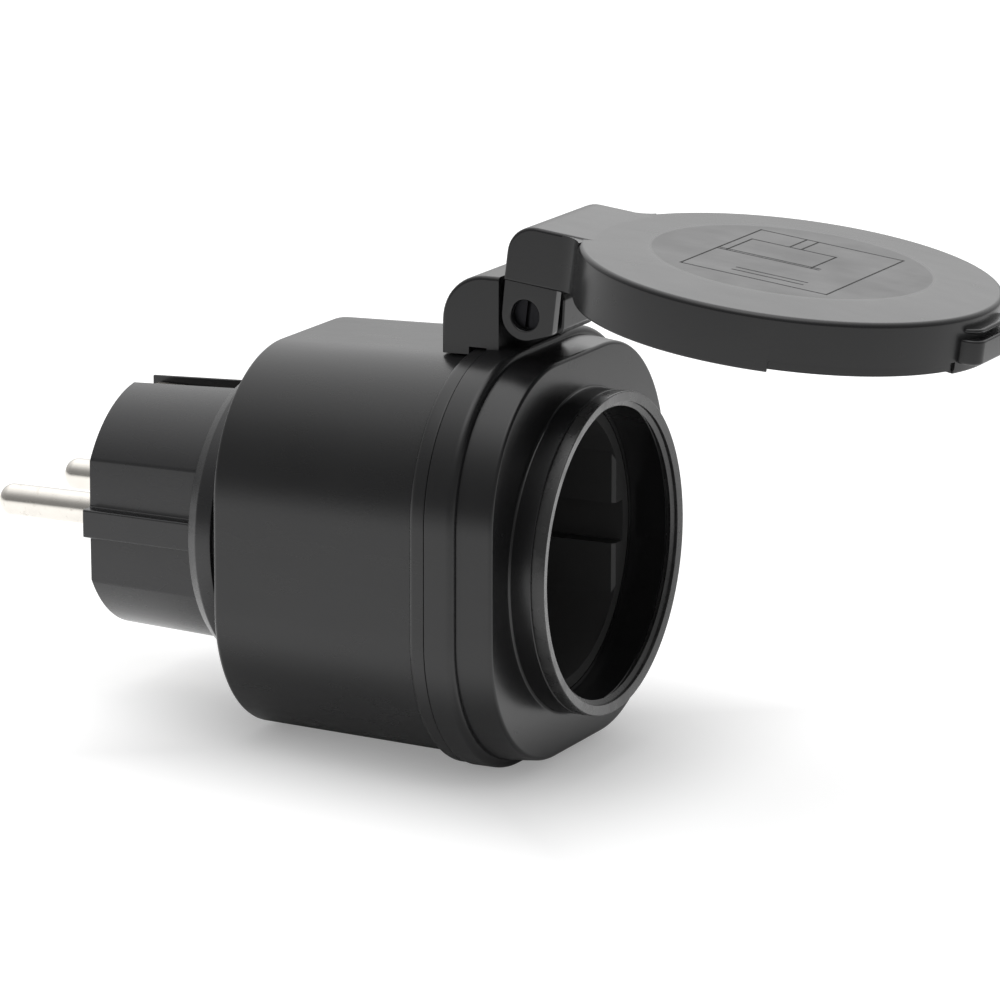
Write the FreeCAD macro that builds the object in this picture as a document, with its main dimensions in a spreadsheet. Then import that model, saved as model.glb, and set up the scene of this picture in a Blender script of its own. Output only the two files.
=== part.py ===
"""Outdoor remote controlled plug-in socket with a hinged splash lid.

Millimetres. Every piece is drawn in a depth frame, where x is across the pins, y is up and z runs
from the plug's end face, where the pins start, towards the mouth of the socket. Placing a piece
turns that frame so that the pins point along +Y and up is +Z, with the origin at the centre of the
plug's end face. The lid is drawn about the centre of its disc, closed, and placed open.
"""
import FreeCAD, Part
import math
import os
import Sketcher
from FreeCAD import Placement, Rotation, Vector

SIZES = [
    ("plug_radius", 18.5, "radius of the round plug body"),
    ("plug_flat", 16.3, "axis to each side flat of the plug body"),
    ("plug_length", 19.0, "plug body from its end face to the flange"),
    ("plug_bore", 14.2, "radius of the hollow inside the plug body"),
    ("plug_end_wall", 4.0, "thickness of the plug's end wall"),
    ("rib_half", 2.1, "half width of each guide rib"),
    ("rib_reach", 18.4, "axis to the outer face of a guide rib"),
    ("flange_start", 2.5, "how far the flange stands out where it meets the plug body"),
    ("flange_rise", 1.2, "how much the flange widens along its slope"),
    ("flange_cone", 1.9, "length of the flange's slope"),
    ("flange_band", 2.5, "length of the flange's round band"),
    ("flange_seat", 1.8, "length of the flange's seat for the plug gasket"),
    ("spigot_inset", 0.5, "how far the spigot that passes the rear wall lies inside the plug body"),
    ("plug_gasket_inset", 0.8, "how far that seat and the plug gasket lie inside the flange"),
    ("plug_gasket_length", 2.0, "thickness of the plug gasket"),
    ("pin_radius", 2.4, "radius of a plug pin"),
    ("pin_pitch", 19.0, "distance between the pins"),
    ("pin_length", 19.0, "pin from the end face to its tip"),
    ("pin_tip_round", 1.9, "rounding of a pin's tip"),
    ("pin_root_less", 0.6, "how much thinner a pin is inside the end wall"),
    ("pin_dimple_more", 0.6, "how much wider than a pin the dimple round it is"),
    ("pin_dimple_depth", 0.6, "depth of that dimple in the end face"),
    ("pin_collar", 3.4, "radius of the collar behind the end wall"),
    ("pin_collar_length", 1.5, "length of that collar"),
    ("pin_tail", 1.0, "radius of the tail soldered to the board"),
    ("solder_reach", 0.7, "how far a tail stands out of the board"),
    ("earth_recess_half", 2.8, "half width of the recess for a plug earth contact"),
    ("earth_recess_floor", 16.6, "axis to the floor of that recess"),
    ("earth_strip_half", 2.4, "half width of a plug earth contact"),
    ("earth_strip_start", 1.2, "end face to the start of an earth contact"),
    ("strip_thickness", 0.8, "thickness of the stamped strips"),
    ("rear_taper", 1.0, "how far the housing narrows towards the rear wall, on each side"),
    ("rear_corner_less", 1.2, "how much smaller the corner radius is at the rear wall"),
    ("cup_margin", 8.0, "outside of the contact cup to the outside of the housing"),
    ("corner_start", 7.6, "axis to where the housing's corners start"),
    ("housing_wall", 2.2, "wall of the housing"),
    ("rear_wall", 2.0, "thickness of the rear wall"),
    ("rear_edge_round", 0.8, "rounding of the housing's rear edge"),
    ("bead_proud", 1.0, "how far the bead beside the seam stands out of the housing"),
    ("bead_corner_more", 0.5, "how much larger that bead's corner radius is"),
    ("bead_length", 2.6, "length of that bead"),
    ("bead_round", 0.9, "rounding of the bead's rear edge"),
    ("ring_proud", 1.2, "how far the front cover's ring stands out of the housing"),
    ("ring_corner_more", 0.7, "how much larger that ring's corner radius is"),
    ("ring_length", 4.6, "seam to the step in the front cover"),
    ("shoulder_round", 1.15, "rounding of the ring's shoulder"),
    ("face_set_back", 1.2, "how far the front band lies inside the ring"),
    ("face_corner_less", 0.9, "how much smaller that band's corner radius is"),
    ("face_length", 5.2, "step to the front face"),
    ("face_wall", 5.5, "thickness of the front cover behind its front face"),
    ("face_round", 0.6, "rounding of the front face's edge"),
    ("collar_length", 5.5, "front face to the mouth"),
    ("collar_wall", 1.55, "wall of the collar"),
    ("collar_clearance", 0.55, "contact cup to the collar's bore"),
    ("collar_foot_round", 2.4, "rounding between the front face and the collar"),
    ("mouth_seal_length", 2.05, "length of the rubber ring that ends the collar"),
    ("seal_tongue_inset", 0.45, "collar's bore to the ring's tongue"),
    ("seal_tongue_width", 0.6, "width of the ring's tongue"),
    ("seal_tongue_length", 1.0, "length of the ring's tongue"),
    ("seal_lip_reach", 0.7, "how far the ring's lip stands into the bore"),
    ("spigot_wall", 1.9, "wall of the front cover's spigot"),
    ("spigot_length", 3.0, "length of that spigot"),
    ("housing_gasket_width", 1.1, "width of the seam gasket"),
    ("housing_gasket_length", 1.2, "thickness of the seam gasket"),
    ("collar_step", 8.0, "mouth to the start of the contact recess"),
    ("recess_depth", 17.5, "depth of the contact recess"),
    ("recess_radius", 19.7, "radius of the contact recess"),
    ("guide_flat_inset", 3.0, "how far each guide flat lies inside the recess's radius"),
    ("guide_half", 3.05, "half width of the groove for a guide rib"),
    ("cup_wall", 1.7, "wall of the contact cup"),
    ("cup_floor", 2.5, "floor of the contact cup"),
    ("entry_radius", 2.75, "radius of a pin entry hole"),
    ("entry_countersink", 0.7, "countersink at a pin entry hole"),
    ("pillar_margin", 4.33, "inside of the housing's corner to a pillar's middle"),
    ("rear_pillar_radius", 3.8, "radius of a rear housing pillar"),
    ("cover_pillar_radius", 3.2, "radius of a front cover pillar"),
    ("cup_ear_radius", 3.4, "radius of a cup ear"),
    ("screw_shank", 1.45, "shank radius of a housing screw"),
    ("screw_head", 2.5, "head radius of a housing screw"),
    ("screw_head_height", 2.0, "head height of a housing screw"),
    ("screw_length", 20.0, "shank length of a housing screw"),
    ("counterbore_radius", 2.8, "radius of a housing screw's counterbore"),
    ("counterbore_floor", 9.5, "plastic left under a housing screw's head"),
    ("plug_screw_offset", 1.8, "spigot's outside to a plug body screw"),
    ("plug_screw_shank", 0.9, "shank radius of a plug body screw"),
    ("plug_screw_head", 1.9, "head radius of a plug body screw"),
    ("plug_screw_head_height", 1.2, "head height of a plug body screw"),
    ("plug_screw_length", 7.6, "shank length of a plug body screw"),
    ("board_post_height", 1.6, "rear wall to the circuit board"),
    ("board_post_radius", 2.1, "radius of a board post"),
    ("board_post_inset", 6.4, "housing's outside to a board post"),
    ("board_thickness", 1.6, "thickness of the circuit board"),
    ("board_gap", 0.5, "gap between the board and what surrounds it"),
    ("small_shank", 1.0, "shank radius of a board or carrier screw"),
    ("small_head", 1.9, "head radius of a board or carrier screw"),
    ("small_head_height", 1.3, "head height of a board or carrier screw"),
    ("board_screw_length", 3.4, "shank length of a board screw"),
    ("carrier_screw_length", 5.6, "shank length of a carrier screw"),
    ("shutter_space", 3.2, "cup floor to the contact carrier"),
    ("shutter_thickness", 2.6, "thickness of the child safety shutter"),
    ("shutter_half", 14.0, "half width of the shutter"),
    ("shutter_travel", 5.7, "travel of the shutter"),
    ("shutter_margin", 3.25, "shutter edge beyond its windows"),
    ("shutter_window", 3.0, "radius of a shutter window"),
    ("spring_length", 9.5, "length of the shutter spring at rest"),
    ("spring_coil", 0.95, "mean radius of the spring's coils"),
    ("spring_wire", 0.17, "radius of the spring's wire"),
    ("spring_turns", 7.0, "turns of the spring"),
    ("spring_seat_height", 1.3, "height of the seat under the spring"),
    ("spring_slot_half", 1.35, "half width of the slot that holds the spring"),
    ("carrier_half", 15.2, "half width of the contact carrier"),
    ("carrier_height", 6.2, "half height of the contact carrier"),
    ("carrier_length", 12.9, "length of the contact carrier"),
    ("carrier_gap", 1.0, "circuit board to the contact carrier"),
    ("carrier_ear_reach", 20.8, "axis to the end of a carrier ear"),
    ("carrier_ear_half", 3.2, "half height of a carrier ear"),
    ("carrier_ear_length", 2.0, "thickness of a carrier ear"),
    ("carrier_screw_offset", 17.9, "axis to a carrier screw"),
    ("sleeve_radius", 3.9, "outer radius of a contact sleeve"),
    ("sleeve_length", 11.6, "length of a contact sleeve"),
    ("sleeve_slit", 0.8, "width of the slit in a contact sleeve"),
    ("tail_half", 1.5, "half width of a contact's tail"),
    ("tail_inset", 0.35, "how far a tail lies inside its sleeve's outside"),
    ("clip_half", 2.2, "half width of the earth clip"),
    ("clip_inset", 1.1, "how far the earth clip's arms lie inside the recess's radius"),
    ("clip_bow", 1.7, "how far an arm bows inwards"),
    ("clip_arm_end", 15.0, "cup floor to the end of an arm"),
    ("clip_bow_start", 2.2, "cup floor to the start of the bow"),
    ("link_radius", 1.5, "radius of the earth link"),
    ("hinge_rise", 5.2, "front cover's ring to the hinge pin"),
    ("hinge_set_back", 9.5, "mouth to the hinge pin"),
    ("hinge_pin_radius", 2.15, "radius of the hinge pin"),
    ("hinge_pin_sink", 1.2, "how far the pin's ends lie inside the ears"),
    ("pin_slot_width", 0.6, "width of the slot in a hinge pin end"),
    ("ear_radius", 3.8, "radius of a lid ear about the pin"),
    ("ear_front", 4.45, "hinge pin to an ear's front edge"),
    ("ear_corner_drop", 2.1, "hinge pin to the lower end of that edge"),
    ("ear_thickness", 2.5, "thickness of a lid ear"),
    ("ear_inset", 0.35, "how far an ear lies inside the arm's side face"),
    ("knuckle_half", 5.3, "half width of the boss's knuckle"),
    ("knuckle_crest", 3.4, "hinge pin to the top of the knuckle"),
    ("knuckle_reach", 3.8, "hinge pin to the knuckle's front"),
    ("knuckle_foot", 3.0, "hinge pin to the front of the knuckle's foot"),
    ("boss_crest", 5.2, "hinge pin to the top of the hinge boss"),
    ("boss_overhang", 7.2, "seam to the rear of the hinge boss"),
    ("boss_round", 6.8, "rounding of the boss's rear top edge"),
    ("boss_edge_round", 0.7, "rounding of the boss's side edges"),
    ("arm_half", 10.7, "half width of the lid's arm"),
    ("arm_rise", 4.5, "hinge pin to the arm's underside"),
    ("arm_rear", 3.8, "hinge pin to the arm's rear face"),
    ("arm_round", 4.2, "rounding of the arm's rear top edge"),
    ("arm_wall", 2.1, "wall of the arm"),
    ("arm_bury", 6.0, "how far the arm runs into the disc"),
    ("arm_edge_round", 0.8, "rounding of the arm's side edges"),
    ("lid_overhang", 0.5, "how far the lid's disc reaches past the front band"),
    ("lid_wall", 2.0, "wall of the lid's skirt"),
    ("lid_plate", 2.1, "thickness of the lid's plate"),
    ("lid_skirt", 8.5, "height of the lid from its rim to its outer face"),
    ("lid_centre_rise", 0.7, "axis to the centre of the closed lid's disc"),
    ("lid_slope_width", 9.9, "width of the sloping rim round the lid's raised middle"),
    ("lid_crown_rise", 0.4, "how far the middle stands above the edge"),
    ("lid_edge_round", 1.3, "rounding of the lid's outer edge"),
    ("lid_gap", 0.8, "closed lid's rim to the front face"),
    ("tab_half", 6.0, "half width of the thumb tab"),
    ("tab_reach", 2.2, "how far the thumb tab stands out of the skirt"),
    ("tab_low", 0.9, "rim to the thumb tab's underside"),
    ("tab_thickness", 2.8, "thickness of the thumb tab"),
    ("lid_gasket_margin", 2.3, "lid's skirt to the lid gasket"),
    ("lid_gasket_width", 5.2, "width of the lid gasket"),
    ("lid_gasket_length", 0.9, "thickness of the lid gasket"),
    ("lid_open_angle", 83.2, "how far the lid stands open at rest"),
    ("relay_gap", 0.6, "relay's end to a pillar's side"),
    ("relay_rise", 2.0, "contact carrier to the relay"),
    ("relay_width", 9.6, "width of the relay"),
    ("relay_height", 12.4, "height of the relay above the board"),
    ("film_left", -13.0, "left end of the film capacitor"),
    ("film_length", 18.0, "length of the film capacitor"),
    ("film_drop", 1.9, "contact carrier to the film capacitor"),
    ("film_width", 6.6, "width of the film capacitor"),
    ("film_height", 12.0, "height of the film capacitor"),
    ("can_radius", 4.0, "radius of the smoothing capacitor"),
    ("can_height", 11.5, "height of the smoothing capacitor"),
    ("can_beside_pillar", 6.9, "smoothing capacitor to a pillar, across"),
    ("can_above_pillar", 5.4, "smoothing capacitor to a pillar, upwards"),
    ("bridge_half", 3.6, "half length of the rectifier"),
    ("bridge_above_post", 5.8, "board post to the rectifier's upper face"),
    ("bridge_width", 2.6, "width of the rectifier"),
    ("bridge_height", 6.0, "height of the rectifier"),
    ("varistor_radius", 4.5, "radius of the varistor disc"),
    ("varistor_thickness", 3.4, "thickness of the varistor"),
    ("varistor_inset", 2.5, "board's edge to the varistor"),
    ("varistor_down", 5.4, "varistor's place below the axis"),
    ("fuse_radius", 1.6, "radius of the fuse"),
    ("fuse_length", 8.4, "length of the fuse"),
    ("fuse_inset", 4.3, "board's edge to the fuse"),
    ("fuse_start", 2.4, "axis to the fuse's lower end"),
    ("fuse_rise", 2.6, "fuse's place above the board"),
    ("module_inset", 4.5, "board's edge to the receiver module"),
    ("module_half", 8.6, "half length of the receiver module"),
    ("module_height", 10.0, "height of the receiver module"),
    ("module_board", 1.0, "thickness of the receiver module's board"),
    ("shield_half", 4.6, "half length of the module's shield"),
    ("shield_height", 7.0, "height of the module's shield"),
    ("shield_depth", 2.0, "thickness of the module's shield"),
    ("antenna_radius", 0.4, "radius of the antenna wire"),
    ("antenna_inset", 3.1, "board's edge to the antenna"),
    ("antenna_start", 10.4, "axis to the antenna's foot"),
    ("antenna_rise", 11.3, "antenna's height above the board"),
    ("antenna_run", 18.0, "length of the antenna's long run"),
    ("antenna_bend", 2.5, "bend radius of the antenna"),
    ("lead_radius", 0.4, "radius of a component's leads"),
    ("close_fit", 0.05, "radial clearance of a fitted pin"),
    ("running_fit", 0.1, "radial clearance of the hinge pin in the knuckle"),
    ("slip", 0.2, "clearance between covers that slip together"),
]

doc = FreeCAD.newDocument("remote_socket")
sheet = doc.addObject("Spreadsheet::Sheet", "Sizes")
for row, (alias, number, note) in enumerate(SIZES, start=1):
    sheet.set(f"A{row}", note)
    sheet.set(f"B{row}", str(number))
    sheet.setAlias(f"B{row}", alias)
doc.recompute()


class Dim:
    """A size: its number now, and the expression that keeps it tied to the sheet."""

    def __init__(self, value, text):
        self.value = float(value)
        self.text = text

    @staticmethod
    def of(other):
        """Wrap a bare number; a Dim stays as it is."""
        return other if isinstance(other, Dim) else Dim(other, f"({float(other)})")

    def __add__(self, other):
        other = Dim.of(other)
        return Dim(self.value + other.value, f"({self.text} + {other.text})")

    def __sub__(self, other):
        other = Dim.of(other)
        return Dim(self.value - other.value, f"({self.text} - {other.text})")

    def __mul__(self, other):
        other = Dim.of(other)
        return Dim(self.value * other.value, f"({self.text} * {other.text})")

    def __truediv__(self, other):
        other = Dim.of(other)
        return Dim(self.value / other.value, f"({self.text} / {other.text})")

    def __radd__(self, other):
        return Dim.of(other) + self

    def __rsub__(self, other):
        return Dim.of(other) - self

    def __rmul__(self, other):
        return Dim.of(other) * self

    def __neg__(self):
        return Dim(-self.value, f"(-{self.text})")

    def root(self):
        """Square root, as a size."""
        return Dim(math.sqrt(self.value), f"sqrt({self.text})")


def size(alias):
    """The sheet's cell of that name."""
    return Dim(sheet.get(alias), f"Sizes.{alias}")


def bind(thing, target, amount):
    """Tie a property of an object to a size."""
    thing.setExpression(target, Dim.of(amount).text)


ZERO = Dim.of(0)

# depths along the axis, from the plug's end face
plug_end = size("plug_length")
cone_end = plug_end + size("flange_cone")
flange_end = cone_end + size("flange_band")
seat_end = flange_end + size("flange_seat")
rear_face = seat_end + size("plug_gasket_length")
rear_inner = rear_face + size("rear_wall")
board_back = rear_inner + size("board_post_height")
board_front = board_back + size("board_thickness")
carrier_back = board_front + size("carrier_gap")
carrier_front = carrier_back + size("carrier_length")
cup_back = carrier_front + size("shutter_space")
cup_face = cup_back + size("cup_floor")
cup_front = cup_face + size("recess_depth")
mouth = cup_front + size("collar_step")
front_face = mouth - size("collar_length")
step = front_face - size("face_length")
seam = step - size("ring_length")
seal_start = mouth - size("mouth_seal_length")
face_inner = front_face - size("face_wall")
hinge_depth = mouth - size("hinge_set_back")

# widths, each from the one that it goes round
spigot_radius = size("plug_radius") - size("spigot_inset")
flange_small = size("plug_radius") + size("flange_start")
flange_large = flange_small + size("flange_rise")
plug_gasket_radius = flange_large - size("plug_gasket_inset")
cup_radius = size("recess_radius") + size("cup_wall")
recess_flat = size("recess_radius") - size("guide_flat_inset")
clip_reach = size("recess_radius") - size("clip_inset")
front_half = cup_radius + size("cup_margin")
front_corner = front_half - size("corner_start")
rear_half = front_half - size("rear_taper")
rear_corner = front_corner - size("rear_corner_less")
bead_half = front_half + size("bead_proud")
bead_corner = front_corner + size("bead_corner_more")
ring_half = front_half + size("ring_proud")
ring_corner = front_corner + size("ring_corner_more")
face_half = ring_half - size("face_set_back")
face_corner = ring_corner - size("face_corner_less")
collar_bore = cup_radius + size("collar_clearance")
collar_radius = collar_bore + size("collar_wall")
seal_tongue_inner = collar_bore + size("seal_tongue_inset")
seal_tongue_outer = seal_tongue_inner + size("seal_tongue_width")
board_post_offset = front_half - size("board_post_inset")
hinge_height = ring_half + size("hinge_rise")
boss_top = hinge_height + size("boss_crest")
lid_radius = face_half + size("lid_overhang")
lid_reach = hinge_height - size("lid_centre_rise")
lid_crown_radius = lid_radius - size("lid_slope_width")
lid_gasket_outer = lid_radius - size("lid_wall") - size("lid_gasket_margin")
lid_gasket_inner = lid_gasket_outer - size("lid_gasket_width")

# places across
pin_x = size("pin_pitch") / 2
pin_root = size("pin_radius") - size("pin_root_less")
pillar = size("corner_start") + (front_corner - size("housing_wall") - size("pillar_margin")) * math.sqrt(0.5)
spigot_half = front_half - size("housing_wall") - size("slip")
spigot_corner = front_corner - size("housing_wall") - size("slip")
PILLARS = [(pillar, pillar), (-pillar, pillar), (-pillar, -pillar), (pillar, -pillar)]
plug_screw_circle = spigot_radius + size("plug_screw_offset")
plug_screw_across, plug_screw_up = plug_screw_circle * math.sqrt(0.75), plug_screw_circle / 2
PLUG_SCREWS = [(plug_screw_across, plug_screw_up), (-plug_screw_across, plug_screw_up),
               (-plug_screw_across, -plug_screw_up), (plug_screw_across, -plug_screw_up)]

# the board's parts, each placed from what it stands beside
board_half = rear_half - size("housing_wall") - size("board_gap")
relay_half = pillar - size("rear_pillar_radius") - size("relay_gap")
relay_low = size("carrier_height") + size("relay_rise")
film_top = -size("carrier_height") - size("film_drop")
can_across = pillar - size("can_beside_pillar")
can_down = pillar - size("can_above_pillar")
bridge_top = size("bridge_above_post") - board_post_offset
varistor_across = board_half - size("varistor_inset")
fuse_across = board_half - size("fuse_inset")
module_across = board_half - size("module_inset")

DEPTH_TO_WORLD = Placement(Vector(0, 0, 0), Rotation(Vector(1, 0, 0), 90))
SUB_PARTS = []


def keep(thing, label, placement=DEPTH_TO_WORLD):
    """Name a finished sub-part, place it and list it for export."""
    thing.Label = label
    thing.Placement = placement
    SUB_PARTS.append(thing)
    return thing


# sketches and features


def new_body(name):
    """An empty body."""
    return doc.addObject("PartDesign::Body", name)


def new_sketch(body, name, role="XY_Plane", offset=ZERO):
    """A sketch on one of the body's origin planes, moved along the plane's normal."""
    sketch = body.newObject("Sketcher::SketchObject", name)
    plane = [p for p in body.Origin.OriginFeatures if p.Role == role][0]
    sketch.AttachmentSupport = [(plane, "")]
    sketch.MapMode = "FlatFace"
    sketch.AttachmentOffset = Placement(Vector(0, 0, Dim.of(offset).value), Rotation())
    bind(sketch, "AttachmentOffset.Base.z", offset)
    return sketch


def pin_point(sketch, geometry, position, x, y):
    """Fix a point of a sketch at two sizes from the origin."""
    for kind, amount, axis in (("DistanceX", x, -2), ("DistanceY", y, -1)):
        amount = Dim.of(amount)
        if amount.text == ZERO.text:
            sketch.addConstraint(Sketcher.Constraint("PointOnObject", geometry, position, axis))
            continue
        index = sketch.addConstraint(
            Sketcher.Constraint(kind, -1, 1, geometry, position, amount.value))
        bind(sketch, f"Constraints[{index}]", amount)


def draw_circle(sketch, x, y, radius):
    """Add a circle to a sketch."""
    x, y, radius = Dim.of(x), Dim.of(y), Dim.of(radius)
    shape = Part.Circle(Vector(x.value, y.value, 0), Vector(0, 0, 1), radius.value)
    index = sketch.addGeometry(shape, False)
    pin_point(sketch, index, 3, x, y)
    constraint = sketch.addConstraint(Sketcher.Constraint("Radius", index, radius.value))
    bind(sketch, f"Constraints[{constraint}]", radius)


def draw_polygon(sketch, points):
    """Add a closed outline of straight edges, each corner fixed at two sizes."""
    points = [(Dim.of(x), Dim.of(y)) for x, y in points]
    first = None
    count = len(points)
    for i, (x, y) in enumerate(points):
        nx, ny = points[(i + 1) % count]
        line = Part.LineSegment(Vector(x.value, y.value, 0), Vector(nx.value, ny.value, 0))
        index = sketch.addGeometry(line, False)
        first = index if first is None else first
        pin_point(sketch, index, 1, x, y)
    for i in range(count):
        follower = first + (i + 1) % count
        sketch.addConstraint(Sketcher.Constraint("Coincident", first + i, 2, follower, 1))


def draw_rectangle(sketch, x0, x1, y0, y1):
    """Add a rectangle to a sketch."""
    draw_polygon(sketch, [(x0, y0), (x1, y0), (x1, y1), (x0, y1)])


def draw_rounded_square(sketch, half, corner):
    """Add a square with round corners, centred on the origin."""
    half, corner = Dim.of(half), Dim.of(corner)
    a, c = half.value, half.value - corner.value
    ends = [((-c, a), (c, a)), ((a, c), (a, -c)), ((c, -a), (-c, -a)), ((-a, -c), (-a, c))]
    centres = [(c, c, 0), (c, -c, 270), (-c, -c, 180), (-c, c, 90)]
    lines, arcs = [], []
    for (start, end), (cx, cy, turn) in zip(ends, centres):
        lines.append(sketch.addGeometry(Part.LineSegment(Vector(*start, 0), Vector(*end, 0)), False))
        circle = Part.Circle(Vector(cx, cy, 0), Vector(0, 0, 1), corner.value)
        arc = Part.ArcOfCircle(circle, math.radians(turn), math.radians(turn + 90))
        arcs.append(sketch.addGeometry(arc, False))
    for i in range(4):
        sketch.addConstraint(Sketcher.Constraint("Tangent", lines[i], 2, arcs[i], 2))
        sketch.addConstraint(Sketcher.Constraint("Tangent", arcs[i], 1, lines[(i + 1) % 4], 1))
        sketch.addConstraint(Sketcher.Constraint("Horizontal" if i % 2 == 0 else "Vertical", lines[i]))
    for i in range(1, 4):
        sketch.addConstraint(Sketcher.Constraint("Equal", arcs[0], arcs[i]))
    radius = sketch.addConstraint(Sketcher.Constraint("Radius", arcs[0], corner.value))
    bind(sketch, f"Constraints[{radius}]", corner)
    reach = [("DistanceY", 0, half), ("DistanceX", 1, half), ("DistanceY", 2, -half),
             ("DistanceX", 3, -half)]
    for kind, side, amount in reach:
        index = sketch.addConstraint(Sketcher.Constraint(kind, -1, 1, lines[side], 1, amount.value))
        bind(sketch, f"Constraints[{index}]", amount)


def pad(body, name, sketch, length):
    """Add material from a sketch along its normal."""
    feature = body.newObject("PartDesign::Pad", name)
    feature.Profile = sketch
    feature.Length = Dim.of(length).value
    bind(feature, "Length", length)
    return settle(body, feature, 1)


def pocket(body, name, sketch, length):
    """Remove material from a sketch along its normal."""
    feature = body.newObject("PartDesign::Pocket", name)
    feature.Profile = sketch
    feature.Reversed = True
    feature.Length = Dim.of(length).value
    bind(feature, "Length", length)
    return settle(body, feature, -1)


def revolve(body, name, sketch):
    """Turn a sketch a full circle about its vertical axis."""
    feature = body.newObject("PartDesign::Revolution", name)
    feature.Profile = sketch
    feature.ReferenceAxis = (sketch, ["V_Axis"])
    feature.Angle = 360
    return settle(body, feature, 1)


def loft(body, name, first, second, kind="PartDesign::AdditiveLoft"):
    """Join or cut a solid between two sketches."""
    feature = body.newObject(kind, name)
    feature.Profile = first
    feature.Sections = [second]
    feature.Ruled = True
    return settle(body, feature, 1 if kind.endswith("AdditiveLoft") else -1)


def settle(body, feature, change):
    """Recompute, and stop if a feature adds or removes nothing where it should."""
    before = feature.BaseFeature.Shape.Volume if feature.BaseFeature else 0.0
    doc.recompute()
    gained = feature.Shape.Volume - before
    if change * gained <= 0:
        raise RuntimeError(f"{body.Name}.{feature.Name} changes the volume by {gained:.3f}")
    return feature


def edge_names(shape, wanted):
    """Names of the edges whose middle point and edge pass a test."""
    names = []
    for i, edge in enumerate(shape.Edges, start=1):
        low, high = edge.ParameterRange
        if wanted(edge, edge.valueAt((low + high) / 2)):
            names.append(f"Edge{i}")
    return names


def round_edges(body, name, radius, wanted):
    """Round the edges of the body's tip that pass a test."""
    base = body.Tip
    names = edge_names(base.Shape, wanted)
    if not names:
        raise RuntimeError(f"{body.Name}.{name} finds no edge")
    feature = body.newObject("PartDesign::Fillet", name)
    feature.Base = (base, names)
    feature.Radius = Dim.of(radius).value
    bind(feature, "Radius", radius)
    doc.recompute()
    return feature


def near(a, b):
    """Whether two numbers are the same to a hundredth."""
    return abs(a - b) < 0.01


def on_square(point, half, corner):
    """Whether a point lies on a rounded square about the axis."""
    straight = (half - corner).value
    across, up = max(abs(point.x) - straight, 0), max(abs(point.y) - straight, 0)
    return near(math.hypot(across, up), corner.value)


def tube(label, inner, outer, start, end, placement=DEPTH_TO_WORLD):
    """A plain ring about the axis, as a sub-part."""
    body = new_body(label)
    sketch = new_sketch(body, label + "_section", "XZ_Plane")
    draw_polygon(sketch, [(inner, start), (outer, start), (outer, end), (inner, end)])
    revolve(body, label + "_ring", sketch)
    return keep(body, label, placement)


# primitives and booleans


def set_base(thing, x, y, z):
    """Tie an object's place to sizes."""
    for axis, amount in (("x", x), ("y", y), ("z", z)):
        bind(thing, f"Placement.Base.{axis}", amount)


def block(name, x0, x1, y0, y1, z0, z1):
    """A box between six sizes."""
    thing = doc.addObject("Part::Box", name)
    bind(thing, "Length", Dim.of(x1) - x0)
    bind(thing, "Width", Dim.of(y1) - y0)
    bind(thing, "Height", Dim.of(z1) - z0)
    set_base(thing, x0, y0, z0)
    return thing


def rod(name, radius, x, y, start, end):
    """A cylinder along the depth."""
    thing = doc.addObject("Part::Cylinder", name)
    bind(thing, "Radius", radius)
    bind(thing, "Height", Dim.of(end) - start)
    set_base(thing, x, y, start)
    return thing


def bar(name, radius, start, y, z, length, axis):
    """A cylinder across the depth: axis x or y."""
    thing = doc.addObject("Part::Cylinder", name)
    turn = Rotation(Vector(0, 1, 0), 90) if axis == "x" else Rotation(Vector(1, 0, 0), -90)
    thing.Placement = Placement(Vector(), turn)
    bind(thing, "Radius", radius)
    bind(thing, "Height", length)
    set_base(thing, start, y, z)
    return thing


def join(name, things):
    """One solid from several that touch."""
    result = doc.addObject("Part::MultiFuse", name)
    result.Shapes = things
    return result


def cut(name, base, tools):
    """A solid less other solids."""
    result = doc.addObject("Part::Cut", name)
    result.Base = base
    result.Tool = tools[0] if len(tools) == 1 else join(name + "_tools", tools)
    return result


def group(name, things):
    """Separate solids that share a node."""
    result = doc.addObject("Part::Compound", name)
    result.Links = things
    return result


def screw(name, x, y, head_start, head_height, head, shank, length, forward=True):
    """A screw along the depth with a cross in its head."""
    slot = head * 0.28
    sink = head_height * 0.6
    if forward:
        head_end = head_start + head_height
        sides = [rod(name + "_head", head, x, y, head_start, head_end),
                 rod(name + "_shank", shank, x, y, head_end, head_end + length)]
        cross = (head_start, head_start + sink)
    else:
        head_end = head_start - head_height
        sides = [rod(name + "_head", head, x, y, head_end, head_start),
                 rod(name + "_shank", shank, x, y, head_end - length, head_end)]
        cross = (head_start - sink, head_start)
    reach = head * 0.62
    tools = [block(name + "_slot_a", x - reach, x + reach, y - slot / 2, y + slot / 2, *cross),
             block(name + "_slot_b", x - slot / 2, x + slot / 2, y - reach, y + reach, *cross)]
    return cut(name, join(name + "_solid", sides), tools)


# plug body, with its flange and the spigot that enters the housing


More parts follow.
